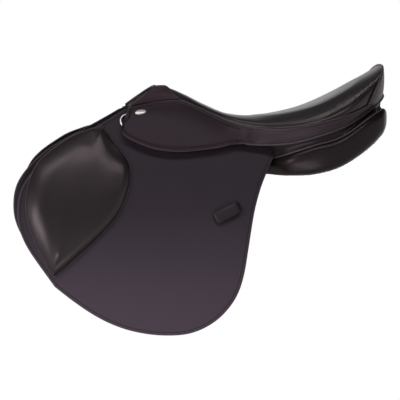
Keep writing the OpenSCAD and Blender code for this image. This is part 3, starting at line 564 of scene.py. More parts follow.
# Painted shade: the facing is near black for the shade in the recess under the binding.
facing_painted_shade = leather("facing_painted_shade", (0.006, 0.0045, 0.005), 0.6, 0.15)
facing_proud, facing_drop, facing_depth, facing_least = 0.4, 1.2, 16.8, 4.0
facing_v = np.linspace(-0.9, 0.9, 61)
facing_top = seat_top(np.zeros_like(facing_v), facing_v) - (facing_proud, 0, facing_drop)
facing_low = seat_base(np.zeros_like(facing_v), facing_v) - (facing_proud, 0, facing_depth)
facing_low[:, 2] = np.minimum(facing_low[:, 2], facing_top[:, 2] - facing_least)
facing_grid = mix(facing_top[None], facing_low[None], np.linspace(0, 1, 9)[:, None, None])
pommel_front = surface("pommel_front", facing_grid, facing=(-1, 0, 0))


def thicken(piece, thickness, rounding):
    """Gives a sheet its thickness behind its face, and rounds its cut edges."""
    solid = piece.modifiers.new("thickness", "SOLIDIFY")
    solid.thickness, solid.offset, solid.use_even_offset = thickness * MM, -1.0, True
    rounded = piece.modifiers.new("rounded", "BEVEL")
    rounded.width, rounded.segments = rounding * MM, 3
    rounded.limit_method, rounded.angle_limit = "ANGLE", np.radians(50)
    return piece


put_on(thicken(pommel_front, 1.5, 0.5), facing_painted_shade, "saddle", "flap_leather", "pommel_facing")
cap_middle, cap_sides, cap_lift = 0.085, 0.23, 1.7
cap_row, cap_v = mesh_grid(np.linspace(0, 1, 25), np.linspace(-0.96, 0.96, 61))
cap_grid = seat_top(cap_row * mix(cap_middle, cap_sides, np.abs(cap_v) ** 1.5), cap_v)
cap_grid = cap_grid + cap_lift * face_normals(cap_grid)
cap_far = np.linalg.norm(cap_grid - cap_grid[-1:], axis=-1)
cap_long = np.hstack([0, np.cumsum(np.linalg.norm(np.diff(cap_grid[-1], axis=0), axis=-1))])
cap_chart = np.stack([np.broadcast_to(cap_long, cap_far.shape), cap_far], -1)
cap_leather = leather("cap_leather", shade(skirt_brown, 1.5), 0.5, 0.15, stitches=(3.0,))
pommel_cap = surface("pommel_cap", cap_grid, facing=(0, 0, 1), uv=cap_chart)
put_on(thicken(pommel_cap, 1.2, 0.4), cap_leather, "saddle", "flap_leather")
binding_path = seat_top(np.zeros(91), np.linspace(-0.95, 0.95, 91)) + (-0.8, 0, 0.6)
pommel_binding = tube("pommel_binding", binding_path, 2.2, (1, 0, 0))
binding_leather = leather("binding_leather", shade(flap_brown, 1.7), 0.46, 0.2)
put_on(pommel_binding, binding_leather, "saddle", "flap_leather")

# Panels: two long cushions of soft black leather stuffed with wool, which bear on the horse on
# either side of the spine. A piping runs along the seam between the cushion and its gusset.
side_tilt, side_splay = np.radians(16.0), np.radians(6.0)
bend_height = 22.0
wall_lean, wall_bow, wall_half_width = np.radians(24.0), 1200.0, 100.0
wall_w = wall_half_width - wall_bow * np.cos(wall_lean)
wall_s = -wall_bow * np.sin(wall_lean)
flap_leather, strap_space, sweat_leather = 4.0, 14.0, 3.0
sweat_outer = -flap_leather - strap_space
sweat_inner = sweat_outer - sweat_leather
SIDES = {"left": (1, 1, 1), "right": (1, -1, 1)}
OUT = {"left": (0, -1, 0), "right": (0, 1, 0)}


def wall(s, d):
    """Half width of the bowed wall that the flap lies on, at height s, d outside the flap's face."""
    return wall_w + np.sqrt((wall_bow + d) ** 2 - (s - wall_s) ** 2)


def lean(s, d):
    """Lean of that wall from the upright."""
    return np.arcsin((s - wall_s) / (wall_bow + d))


def side_point(t, w, s):
    """Point of the left side: t along the bend of the flap, w outwards, s up, turned by the
    tilt and the splay of the side."""
    x = t * np.cos(side_tilt) + s * np.sin(side_tilt)
    z = s * np.cos(side_tilt) - t * np.sin(side_tilt)
    return np.stack([x * np.cos(side_splay) - w * np.sin(side_splay),
                     -x * np.sin(side_splay) - w * np.cos(side_splay), z + bend_height], -1)


def on_wall(t, s, d):
    """Point of the left side at layer d of the wall."""
    t, s, d = np.broadcast_arrays(*(np.asarray(value, float) for value in (t, s, d)))
    return side_point(t, wall(s, d), s)


def hug(x, z, depth):
    """Half width at which a cushion of that half depth lies under the sweat flap: the wall's at
    the cushion's height, less the depth and a little air, square to the wall."""
    usual, air = 62.0, 1.3
    s = ((x * np.cos(side_splay) + usual * np.sin(side_splay)) * np.sin(side_tilt)
         + (z - bend_height) * np.cos(side_tilt))
    outer = (wall(s, sweat_inner) + x * np.sin(side_splay)) / np.cos(side_splay)
    return outer - (depth + air) / np.cos(lean(s, 0))


# A station holds its x, y, z, half length, half depth and tilt. Those under the flap hug it.
under_flap = np.array([
    (-140, 0, 70, 20, 6, 64), (-124, 0, 66, 36, 10, 64), (-85, 0, 62, 42, 12, 64),
    (-40, 0, 55, 43, 12, 63), (5, 0, 47, 41, 13, 62), (45, -2, 40, 39, 14, 58)], float)
under_flap[:, 1] += hug(under_flap[:, 0], under_flap[:, 2], under_flap[:, 4])
panel_stations = np.vstack([under_flap, [
    (80, 42, 35, 36, 16.55, 52), (112, 44, 32, 35, 19.8, 38), (145, 72, 31, 42, 23.05, 22),
    (190, 81, 33, 44, 25, 12), (235, 80, 43, 43, 25, 8), (278, 72, 66, 39, 26, 4),
    (310, 63, 90, 32, 25, 0), (330, 54, 106, 18, 14, 0)]])
panel_last = len(panel_stations) - 1
panel_end = panel_last - 0.9


def panel_point(q, angle, e=0.0):
    """Section of the left panel at station q: a rounded box of the station's half length and
    half depth, turned by its tilt, at an angle in degrees and e outside its leather. The rear,
    where nothing covers it, is stuffed fuller, most of all on its outer shoulder."""
    boxed = 0.62
    q, angle = np.broadcast_arrays(np.asarray(q, float), np.radians(np.asarray(angle, float)))
    x, y, z, half, depth, tilt = np.moveaxis(curve(panel_stations, q), -1, 0)
    tilt = np.radians(tilt)
    shoulder = np.exp(-((np.degrees(angle) - 66) / 34) ** 2)
    fuller = 2.0 + 9.0 * shoulder * (1 - 0.8 * ease((q - 11.0) / 1.1))
    e = e + fuller * ease((q - 7.4) / 1.8)
    p = (half + e) * np.sign(np.cos(angle)) * np.abs(np.cos(angle)) ** boxed
    r = (depth + e) * np.sign(np.sin(angle)) * np.abs(np.sin(angle)) ** boxed
    out = y + p * np.cos(tilt) + r * np.sin(tilt)
    return np.stack([x, -out, z - p * np.sin(tilt) + r * np.cos(tilt)], -1)


panel_black = leather("panel_black", (0.0060, 0.0042, 0.0042), 0.32, 0.17, pore=0.9,
                      relief=smooth_relief, sheen=warm_wax)
panel_swell, panel_slack = 3.0, 0.6
panel_angles = np.linspace(0, 360, 56, endpoint=False)
panel_q, panel_a = mesh_grid(np.linspace(0, panel_end, 105), panel_angles)
panel_ring = panel_point(panel_q, panel_a, -panel_slack * panel_swell)
dome = np.linspace(0, np.pi / 2, 10)[1:, None, None]


def domed(ring, reach):
    """Rounds one end of a cushion: rings that shrink to its middle while they move on by reach."""
    centre = ring.mean(0)
    return centre + (ring[None] - centre) * np.cos(dome) + np.asarray(reach, float) * np.sin(dome)


panel_front, panel_rear = domed(panel_ring[0], (-5, 0, 1))[::-1], domed(panel_ring[-1], (16, 8, 13))
panel_ring = np.concatenate([panel_front, panel_ring, panel_rear])
panel_left = surface("panel_cushion_left", panel_ring, ring=True)
seam_angle, inner_angle, seam_within, piping_r = 60.0, 150.0, 5.0, 1.9
piping_path = panel_point(np.linspace(0.2, panel_end, 150), seam_angle, 0.4)


def panel_held(place):
    """The seams of the cushion hold: along its piping and along its inner edge."""
    inner = panel_point(np.linspace(0, panel_last, 150), inner_angle)
    return gap_to(place, np.vstack([piping_path, inner])) < seam_within


swell(panel_left, panel_held, panel_swell)


def other_side(piece, name):
    """Mirror image of a left piece, with its faces turned to point outwards again."""
    mesh = piece.data.copy()
    mesh.name = name
    place = np.zeros(len(mesh.vertices) * 3)
    mesh.vertices.foreach_get("co", place)
    mesh.vertices.foreach_set("co", (place.reshape(-1, 3) * (1, -1, 1)).ravel())
    mesh.flip_normals()
    twin = bpy.data.objects.new(name, mesh)
    scene.collection.objects.link(twin)
    return twin


panel_right = other_side(panel_left, "panel_cushion_right")
for side, cushion in (("left", panel_left), ("right", panel_right)):
    put_on(cushion, panel_black, "saddle", "panel_leather", f"panel_{side}", f"panel_flock_{side}")
    piping = tube(f"panel_piping_{side}", piping_path * SIDES[side], piping_r, (0, 0, 1))
    put_on(piping, welt_painted_highlight, "saddle", "panel_leather")

# Band: a strip of flap leather round the rear of the seat, from skirt to skirt, sewn to the seat
# under the welt. Its lower edge is piped and meets the panel gussets.
band_low = np.array([
    (66, -96, 60), (103, -99.028, 58), (149, -117, 61.5), (197, -129, 74.5), (241, -122, 90),
    (279, -98, 110), (309, -70, 128), (325, -38, 141), (330, 0, 147)], float)
band_bulge, seam_drop = 4.0, 0.6
band_middle = 1.5
skirt_top_end = 0.485
skirt_leather = 3.5
band_stand = skirt_leather + 0.8


def arc(first, towards, last, q):
    """Arc from the first point (q 0) to the last (q 1) that sets out towards a third: the points
    weighted by (1 - q) squared, 2 q (1 - q) and q squared."""
    q = q[..., None]
    return (1 - q) ** 2 * first + 2 * q * (1 - q) * towards + q * q * last


def band_half(k, q):
    """Left half of the band: k from the skirt (0) along the seat's edge (1) to the middle of the
    cantle (1.5), q from its lower edge to the seat, bulging a little between the two."""
    k, q = np.broadcast_arrays(np.asarray(k, float), np.asarray(q, float))
    u = np.minimum(mix(skirt_top_end + 0.005, 1.0, k), 1.0)
    v = np.clip(2 * (k - 1) - 1, -1.0, 1.0)
    beside = (k < 1)[..., None]
    edge = np.where(beside, along_seat(seat_edge, u) * (1, -1, 1), seat_top(np.ones_like(u), v))
    out = np.where(beside, np.array((0.0, -1.0, 0.0)), round_rear(v))
    stand = band_stand - ease((k - 0.5) / 0.5)
    head = edge + stand[..., None] * out - (0, 0, seam_drop)
    foot = curve(band_low, k / band_middle * (len(band_low) - 1))
    return arc(foot, (head + foot) / 2 + band_bulge * round_rear(v), head, q)


def band_point(k, q):
    """Whole band, k from the left skirt (0) round the cantle to the right skirt (3)."""
    k = np.asarray(k, float)
    right = k > band_middle
    mirrored = np.where(right[..., None], np.array((1.0, -1.0, 1.0)), 1.0)
    return band_half(np.where(right, 2 * band_middle - k, k), q) * mirrored


band_k, band_q = mesh_grid(np.linspace(0, 2 * band_middle, 181), np.linspace(0, 1, 13))
band_grid = band_point(band_k, band_q)


def grid_chart(grid):
    """Map of a strip's edge: length along the rows, and distance from the nearer long edge."""
    step = np.linalg.norm(np.diff(grid[:, :1], axis=0), axis=-1)
    along = np.vstack([np.zeros((1, 1)), np.cumsum(step, 0)])
    part = np.linalg.norm(np.diff(grid, axis=1), axis=-1)
    inside = np.hstack([np.zeros((len(grid), 1)), np.cumsum(part, 1)])
    inside = np.minimum(inside, inside[:, -1:] - inside)
    return np.stack([np.broadcast_to(along, inside.shape), inside], -1)


band_leather = leather("band_leather", shade(skirt_brown, 1.2), 0.46, 0.16, stitches=(5.0,))
band = surface("band", band_grid, facing=(0, 0, 1), uv=grid_chart(band_grid))
band_inside = Vector((0.12, 0, 0.06))
if sum(face.normal.dot(face.center - band_inside) for face in band.data.polygons) < 0:
    band.data.flip_normals()
put_on(thicken(band, skirt_leather, 0.8), band_leather, "saddle", "flap_leather", "cantle_band")
piping_k, knot_r, knot_half = np.linspace(0.04, 2.96, 220), 1.8, 0.35
piping_size = piping_r + knot_r * ease(1 - np.abs(piping_k - band_middle) / knot_half)
band_seam = band_point(piping_k, np.zeros_like(piping_k)) - (0, 0, seam_drop)
band_piping = tube("band_piping", band_seam, piping_size, (0, 0, 1))
put_on(band_piping, welt_painted_highlight, "saddle", "flap_leather")

# Gussets and bridges: a leather strip joins the rear of each panel to the band, and two more join
# the panels to each other over the spine, at the head and at the rear.
gusset_leather, gusset_bow = 2.5, 2.0
gusset_q, gusset_k = np.linspace(7.4, 12.2, 61), np.linspace(0.2, 1.36, 61)
gusset_angle = seam_angle + 2 + 25 * ease(gusset_q - 11.2)
gusset_foot = panel_point(gusset_q, gusset_angle, 0.6)
gusset_head = band_point(gusset_k, np.zeros_like(gusset_k)) + (-0.6, 1.2, -0.6)
gusset_rows = np.linspace(0, 1, 9)[None, :, None]
gusset_grid = mix(gusset_foot[:, None], gusset_head[:, None], gusset_rows)
gusset_grid = gusset_grid + np.array((0, gusset_bow, 0)) * np.sin(np.pi * gusset_rows)
for side in SIDES:
    gusset = surface(f"gusset_{side}", gusset_grid * SIDES[side], facing=OUT[side])
    thicken(gusset, gusset_leather, 0.5)
    put_on(gusset, panel_black, "saddle", "panel_leather", f"panel_gusset_{side}")


def bridge(name, first, last, angle, rise):
    """Strip that springs from one panel to the other in a low arch."""
    q, v = mesh_grid(np.linspace(first, last, 25), np.linspace(-1, 1, 33))
    foot = panel_point(q, angle, 1.8)
    grid = np.stack([foot[..., 0], -foot[..., 1] * v, foot[..., 2] + rise * (1 - v * v)], -1)
    strip = thicken(surface(name, grid, facing=(0, 0, 1)), 2.0, 0.5)
    put_on(strip, panel_black, "saddle", "panel_leather", name.replace("bridge", "panel_bridge"))


bridge("bridge_front", 0.6, 2.1, 172.0, 8.0)
bridge("bridge_rear", 10.6, 12.6, 128.0, 6.0)

# Sweat flaps: a thin leaf between the girth straps and the horse, sewn to the panel along its
# top. Its border follows the flap's, 9 mm inside it.
flap_front_line = [
    (-146, 70), (-165, 47), (-203, 7), (-241, -31), (-264, -61), (-279, -90), (-287.5, -114),
    (-289.4, -136), (-283.2, -165), (-270.8, -192), (-249, -217), (-220, -240.5), (-187, -266)]
flap_foot_line = [
    (-186, -267), (-149, -282), (-101.7, -297), (-57, -303.8), (-14.4, -302.4), (26, -294.4), (65, -279),
    (99, -248), (120, -206), (124.4, -165), (119, -111), (112.5, -49), (113, -1), (119, 39), (124.5, 70)]
front_count, foot_count, rear_count, edge_count = 220, 340, 150, 900
leaf_middle = np.array((-80.0, -130.0))


def even(path, count, closed=True):
    """Path with its points at equal distances."""
    path = np.vstack([path, path[:1]]) if closed else path
    step = np.linalg.norm(np.diff(path, axis=0), axis=1)
    place = np.hstack([0, np.cumsum(step)])
    at = np.linspace(0, place[-1], count, endpoint=not closed)
    return np.stack([np.interp(at, place, path[:, k]) for k in range(path.shape[1])], -1)


def soften(path, width):
    """Path with its waves smoothed away: each point becomes the mean of its neighbours by a bell
    curve of that width in points, over a path that is carried on straight past its ends."""
    reach = 3 * width
    bell = np.exp(-0.5 * (np.arange(-reach, reach + 1) / width) ** 2)
    steps = np.arange(1, reach + 1)[:, None]
    head = path[:1] - steps[::-1] * (path[1] - path[0])
    tail = path[-1:] + steps * (path[-1] - path[-2])
    longer = np.vstack([head, path, tail])
    return np.stack([np.convolve(longer[:, k], bell / bell.sum(), "valid") for k in range(2)], -1)


def trace(points, steps):
    """Points of the smooth curve through the points, in even steps."""
    return curve(points, np.linspace(0, len(points) - 1, steps))


def inward(path):
    """Directions square to a closed path, to its inside, smoothed over the corners."""
    step = np.roll(path, -1, 0) - np.roll(path, 1, 0)
    square = np.stack([-step[:, 1], step[:, 0]], -1)
    square /= np.linalg.norm(square, axis=1, keepdims=True) + 1e-9
    square = square + np.roll(square, 1, 0) + np.roll(square, -1, 0)
    square /= np.linalg.norm(square, axis=1, keepdims=True) + 1e-9
    area = np.sum(path[:, 0] * np.roll(path[:, 1], -1) - np.roll(path[:, 0], -1) * path[:, 1])
    return square * np.sign(area)


def below(cut, top):
    """Part of a cut below top: it starts and ends where the cut crosses that line."""
    kept = np.flatnonzero(cut[:, 1] < top)
    ends = [mix(cut[i], cut[j], (top - cut[i, 1]) / (cut[j, 1] - cut[i, 1]))
            for i, j in ((kept[0] - 1, kept[0]), (kept[-1], kept[-1] + 1))]
    return np.vstack([ends[:1], cut[kept], ends[1:]])


def edge_chart(points, edge):
    """Map of a leaf: length along the edge to the nearest place on it, and distance from there."""
    flat = points.reshape(-1, 2)
    length = np.hstack([0, np.cumsum(np.linalg.norm(np.diff(edge, axis=0), axis=1))])
    gap = np.sqrt(((flat[:, None] - edge[None]) ** 2).sum(-1))
    nearest = gap.argmin(1)
    chart = np.stack([length[nearest], gap[np.arange(len(flat)), nearest]], -1)
    return chart.reshape(*points.shape[:-1], 2)


def leaf(name, cut, outer, thickness, side, top):
    """Leaf of leather on the wall: columns go round its cut, rows from the middle of its outer face
    to the edge, round the edge and back over its inner face. Above top it ends square, at a bend."""
    count, along_top = 380, 80
    edge = even(cut, edge_count, closed=False)
    low = even(below(cut, top), count - along_top, closed=False)
    cut = np.vstack([low, mix(low[-1], low[0], np.linspace(0, 1, along_top + 2)[1:-1, None])])
    square = inward(cut)
    rounding = np.where(cut[:, 1] > top - 0.05, 0.0, 0.45 * thickness)
    insets = np.array((16.0, 11.0, 8.0, 6.0, 4.5, 3.2))
    place = np.arange(count)
    corner = np.minimum(np.minimum(place, count - place), np.abs(place - (len(low) - 1)))
    step = np.linalg.norm(np.roll(cut, -1, 0) - cut, axis=1).min()
    near = cut[None] + np.minimum(insets[:, None], 0.8 * step * corner)[..., None] * square[None]
    shares = np.linspace(0, 1, 16)[:-1, None, None]
    face = np.concatenate([mix(leaf_middle, near[:1], shares), near])
    turn = np.linspace(0, np.pi, 7)[:, None]
    rim = cut[None] + (rounding * (1 - np.sin(turn)))[..., None] * square[None]
    back = face[::-1]
    flat = np.concatenate([face, rim, back])
    depth = np.concatenate([
        np.zeros((len(face), count)), thickness / 2 * (np.cos(turn) - 1) * np.ones(count),
        np.full((len(back), count), -thickness)])
    grid = on_wall(flat[..., 0], flat[..., 1], outer + depth) * SIDES[side]
    chart = edge_chart(flat, edge)
    chart[len(face):len(face) + len(rim), :, 1] *= 0.2
    chart[len(face) + len(rim):, :, 1] *= -1
    return surface(name, grid, ring=True, uv=chart, sharp=55.0)


flap_cut = np.vstack([
    soften(even(trace(flap_front_line, 400), front_count, closed=False), 6),
    soften(even(trace(flap_foot_line, 600), foot_count, closed=False), 6)])
sweat_inset, sweat_end, sweat_top = 9.0, 62.0, 28.0
sweat_cut = flap_cut + sweat_inset * inward(flap_cut)
sweat_cut = sweat_cut[sweat_cut[:, 1] < sweat_end]
dark_edge = (0.006, 0.0045, 0.005)
sweat_leaf = leather("sweat_leather", (0.0105, 0.0080, 0.0095), 0.5, 0.22, edge=dark_edge, stitches=(5.0,))
for side in SIDES:
    sheet = leaf(f"sweat_leaf_{side}", sweat_cut, sweat_outer, sweat_leather, side, sweat_top)
    put_on(sheet, sweat_leaf, None, "panel_leather", f"sweat_flap_{side}", f"sweat_flap_top_{side}")
    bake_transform(sheet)

# Blocks: foam shapes covered in panel leather, glued on the sweat flap before and behind the leg.
# They stand under the flap and steady the knee and the thigh through it.
front_block_cut = np.vstack([
    trace([(-150, -30), (-122, -60), (-118, -110), (-140, -165), (-176, -205)], 60),
    trace([(-184, -205), (-226, -170), (-250, -120), (-240, -70), (-196, -32), (-158, -26)], 60)])
rear_block_cut = np.vstack([
    trace([(100, -52), (105, -60), (106, -110), (106, -165)], 40),
    trace([(102, -176), (93, -176), (88.4, -150), (86.4, -100), (92, -54)], 40)])
block_lift, block_height, block_crown = 0.4, 9.0, 2.0


def block_grid(cut, shoulder):
    """Padded form on the sweat flap: it stands on its cut, rolls in over a rounded shoulder and
    crowns over the middle. Columns go round the cut, rows from under the middle out to the foot and
    up over the shoulder to the middle again."""
    count, under_rows, sides = 150, 8, block_height - block_crown
    cut = even(cut, count)
    square = inward(cut)
    middle = (cut.min(0) + cut.max(0)) / 2
    reach = np.linalg.norm(cut - middle, axis=1)
    turn = np.linspace(0, np.pi / 2, 9)[:, None]
    width = np.minimum(shoulder, 0.45 * reach)
    roll = cut[None] + (width * (1 - np.cos(turn)))[..., None] * square[None]
    rise = sides * np.sin(turn) ** 1.2 * np.ones(count)
    share = np.linspace(0, 1, 22)[1:, None, None]
    face = mix(roll[-1][None], middle, share)
    crowned = sides + block_crown * (1 - (1 - share[..., 0]) ** 2.2) * np.ones(count)
    under = mix(cut[None], middle, np.linspace(0, 1, under_rows)[::-1, None, None])
    flat = np.concatenate([under, roll, face])
    up = np.concatenate([np.zeros((under_rows, count)), rise, crowned])
    return on_wall(flat[..., 0], flat[..., 1], sweat_outer + block_lift + up)


for side in SIDES:
    for which, cut, shoulder in (("front", front_block_cut, 12.0), ("rear", rear_block_cut, 7.0)):
        block = surface(f"block_{which}_{side}", block_grid(cut, shoulder) * SIDES[side], ring=True)
        put_on(block, panel_black, f"sweat_flap_{side}", "panel_leather", f"{which}_block_{side}")

# Girth straps and point pockets: three straps of thick strap leather hang from the webs on each
# side, with punched holes. A leather pocket on the panel takes each point of the tree.
strap_leather = leather("strap_leather", (0.0140, 0.0095, 0.0090), 0.5, 0.25, pore=1.3)
keep_cad(strap_leather, 0.0008, *each_side("billet_front", "billet_middle", "billet_rear"))
keep_cad(panel_black, 0.0006, *each_side("point_pocket"))

# Flaps: large leaves of thick matt leather under the rider's leg. The top is nailed to the tree,
# and the leaf lifts on the bend just below it, where the two meet.
# Painted light on the flap: its cut edge is coloured lighter as a painted highlight, and its colour grows
# paler towards the foot.
flap_leaf = leather("flap_leather", flap_brown, 0.52, 0.12, edge=(0.050, 0.037, 0.046),
                    crease=(5.5,), foot_painted_light=1.5)
flap_top, corner_rise, front_slope, rear_slope = 56.0, 9.0, 0.82, 0.14
edge_round = 0.45 * flap_leather

# The fixed top is a section across the flap, out over its face, round the rear edge, back over its
# inside and round the front edge, carried up from the bend. Its corners rise past the flap's top.
rim_turn, face_k = np.linspace(0, np.pi, 9), np.linspace(0, 1, 121)
rim_in, face_in = edge_round * (1 - np.sin(rim_turn)), edge_round * (1 - 2 * face_k)
rim_d = flap_leather / 2 * (np.cos(rim_turn) - 1)
section_k = np.hstack([face_k, np.ones_like(rim_d), face_k[::-1], np.zeros_like(rim_d)])
section_in = np.hstack([face_in, -rim_in, face_in[::-1], rim_in[::-1]])
section_d = np.hstack([np.zeros_like(face_k), rim_d, np.full_like(face_k, -flap_leather), rim_d[::-1]])
shut_d = np.full_like(section_d, -flap_leather / 2)
top_rows = np.linspace(0, flap_top, 29)
top_s, top_k = mesh_grid(np.hstack([0, top_rows, flap_top]), section_k)
top_d = np.vstack([shut_d, np.tile(section_d, (len(top_rows), 1)), shut_d])
corner = ease((top_k - 0.55) / 0.45) + ease((0.2 - top_k) / 0.2)
top_s = top_s + corner_rise * corner * (top_s / flap_top) ** 2
above = np.maximum(top_s - flap_top, 0)
flap_front_edge, flap_rear_edge = flap_cut[:front_count][::-1], flap_cut[-rear_count:]
front_t = np.interp(top_s, flap_front_edge[:, 1], flap_front_edge[:, 0]) + front_slope * above
rear_t = np.interp(top_s, flap_rear_edge[:, 1], flap_rear_edge[:, 0]) + rear_slope * above
top_t = mix(front_t, rear_t, top_k) + section_in
top_chart = edge_chart(np.stack([top_t, top_s], -1), even(flap_cut, edge_count, closed=False))
top_chart[..., 1] *= np.where(section_d < -0.9 * flap_leather, -1.0, 1.0)
for side in SIDES:
    upper_grid = on_wall(top_t, top_s, top_d) * SIDES[side]
    upper = surface(f"flap_upper_{side}", upper_grid, ring=True, uv=top_chart)
    put_on(upper, flap_leaf, None, "flap_leather", f"flap_top_{side}")
    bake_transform(upper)
    lower = leaf(f"flap_leaf_{side}", flap_cut, 0.0, flap_leather, side, 0.0)
    put_on(lower, flap_leaf, None, "flap_leather", f"flap_{side}")
    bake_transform(lower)

# Knee pads: shaped foam under smooth soft leather, sewn on the flap all round. The cover is drawn
# down to a seam, with a thin welt in it.
pad_rear = trace([
    (-183, 17), (-155, -5), (-121, -32), (-110, -74), (-120, -133), (-160, -205), (-190, -250)], 90)
pad_front = trace([
    (-194, -250), (-244, -197), (-274, -142), (-275, -77), (-239, -22), (-206, 6), (-187, 17)], 90)
pad_cut = np.vstack([pad_rear, pad_front])
pad_swell, pad_lift, pad_welt_lift, pad_welt_r = 3.5, 0.5, 1.2, 1.3
pad_height, pad_crown, pad_shoulder = 15.0, 2.5, 24.0
pad_foot_s, pad_length = -250.0, 267.0
pad_black = leather("pad_black", (0.0095, 0.0078, 0.0080), 0.34, 0.31, pore=0.9,
                    relief=smooth_relief, sheen=warm_wax)
pad_seam = even(pad_cut, 360)


def pad_rise(flat):
    """Height of the pad over the flap, by the distance from its seam: a long even slope in front,
    a round shoulder behind, a slight crown, and less of it all towards the upper end."""
    apart = np.linalg.norm(flat[:, :, None] - pad_seam, axis=-1)
    gap = apart.min(-1)
    front = inward(pad_seam)[apart.argmin(-1), 0]
    near = np.clip(gap / (pad_shoulder * (1 + 0.42 * front)), 0, 1)
    shoulder = mix(np.sqrt(1 - (1 - near) ** 2), np.sin(np.pi / 2 * near), np.clip(front, 0, 1))
    crown = 1 - (1 - gap / gap.max()) ** 2
    fading = 1 - 0.3 * ease((flat[..., 1] - pad_foot_s) / pad_length)
    return (pad_height * shoulder + pad_crown * crown) * fading


pad_across = (0.5 - 0.5 * np.cos(np.linspace(0, np.pi, 61)))[None, :, None]
pad_flat = mix(pad_front[::-1, None], pad_rear[:, None], pad_across)
pad_top = on_wall(pad_flat[..., 0], pad_flat[..., 1], pad_lift + pad_rise(pad_flat))
pad_base = on_wall(pad_flat[..., 0], pad_flat[..., 1], pad_lift)
pad_shut = np.concatenate([pad_base, pad_base[:, -2:0:-1]], 1)
pad_ring = np.concatenate([pad_top, pad_base[:, -2:0:-1]], 1)
pad_ring = np.concatenate([pad_shut[:1], pad_ring[1:-1], pad_shut[-1:]])
knee_pad = surface("knee_pad_cover_left", pad_ring, ring=True)


def pad_held(place):
    """The pad is held along its seam, and where it lies on the flap."""
    sewn_within, glued_within = 2.5, 1.2
    sewn = gap_to(place, on_wall(pad_seam[:, 0], pad_seam[:, 1], pad_lift)) < sewn_within
    ring = even(pad_cut, 60)
    steps = np.linspace(0, 1, 10)[:, None, None]
    under = mix(ring[None], (ring.min(0) + ring.max(0)) / 2, steps).reshape(-1, 2)
    foot = on_wall(under[:, 0], under[:, 1], pad_lift)
    nearest = ((place[:, None] - foot[None]) ** 2).sum(-1).argmin(1)
    return sewn | (foot[nearest, 1] - place[:, 1] < glued_within)


swell(knee_pad, pad_held, pad_swell, pressure=3.0, evened=24)
for side in SIDES:
    cover = knee_pad if side == "left" else other_side(knee_pad, "knee_pad_cover_right")
    seam_path = on_wall(pad_seam[:, 0], pad_seam[:, 1], pad_welt_lift) * SIDES[side]
    welt = tube(f"knee_pad_welt_{side}", seam_path, pad_welt_r, (0, 1, 0), ends=False, sides=8)
    put_on(cover, pad_black, None, "pad_leather", f"knee_pad_{side}")
    put_on(welt, welt_painted_highlight, None, "pad_leather")
    for piece in (cover, welt):
        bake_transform(piece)

# Keepers: a short strap across the flap, sewn down at both ends, with a raised loop between them
# for the end of the stirrup leather.
keeper_half, keeper_width, keeper_rise = 25.5, 20.0, 7.6
keeper_lift, keeper_roll = 1.4, 0.9
keeper_place_t, keeper_place_s, keeper_turn = 67.0, -65.0, np.radians(42.0)
keeper_line = keeper_half * np.sin(np.linspace(-np.pi / 2, np.pi / 2, 61))
keeper_x, keeper_y = mesh_grid(keeper_line, np.linspace(-keeper_width / 2, keeper_width / 2, 21))
keeper_end = np.abs(keeper_x / keeper_half)
keeper_out = keeper_y * (0.55 + 0.45 * (1 - keeper_end ** 6) ** 0.5)
keeper_t = keeper_place_t + keeper_x * np.cos(keeper_turn) - keeper_out * np.sin(keeper_turn)
keeper_s = keeper_place_s + keeper_x * np.sin(keeper_turn) + keeper_out * np.cos(keeper_turn)
keeper_up = keeper_lift + keeper_rise * (1 - keeper_end ** 6) ** 0.55
keeper_up = keeper_up - keeper_roll * np.abs(2 * keeper_y / keeper_width) ** 4
keeper_grid = on_wall(keeper_t, keeper_s, keeper_up)
keeper_chart = np.stack([keeper_x + 40, keeper_width / 2 - np.abs(keeper_y)], -1)
keeper_leather = leather("keeper_leather", (0.0125, 0.0085, 0.0115), 0.46, 0.18, edge=dark_edge)
for side in SIDES:
    keeper = surface(f"keeper_strap_{side}", keeper_grid * SIDES[side], facing=OUT[side], uv=keeper_chart)
    put_on(thicken(keeper, 2.5, 0.7), keeper_leather, f"flap_{side}", "strap_leather", f"keeper_{side}")

# Stirrup bars: forged steel bars riveted to the ledges of the tree, each closed at its rear end by
# a catch that turns on a pin.
bar_steel = steel("bar_steel", (0.56, 0.55, 0.54), 0.28)
keep_cad(bar_steel, 0.0006, *each_side("stirrup_bar", "catch"))
keep_cad(plain_steel, 0.0003, "bar_rivets", "catch_pins")

# Skirts: a piece of flap leather over each stirrup bar, sewn to the seat along the welt. The lower
# leaf lifts on a bend. A bead is pressed along its edge, with a crease inside it.
skirt_bend, skirt_front, skirt_end, skirt_share = 48.0, -150.0, 38.0, 0.444
skirt_low = skirt_bend - 42.0
skirt_outer = 12.0 + skirt_leather
skirt_gap, skirt_middle = 0.3, -60.0
skirt_foot = trace([
    (skirt_front, skirt_bend - 10), (skirt_front + 3, skirt_low + 14), (skirt_front + 9, skirt_low + 7.5),
    (-123, skirt_low + 3), (-95, skirt_low), (-68, skirt_low + 2), (-34, skirt_low + 10),
    (15, skirt_low + 30), (skirt_end + 2, skirt_bend + 1)], 200)


def skirt_line(u):
    """Bend of the skirt at u: its place along the side, its height and its layer of the wall. Past
    the end of the leaf it climbs and sinks in towards the band."""
    t = mix(skirt_front, skirt_end, u / skirt_share)
    past = np.maximum(t - skirt_end, 0)
    return t, skirt_bend + skirt_gap + 0.36 * past, skirt_outer - 0.12 * past


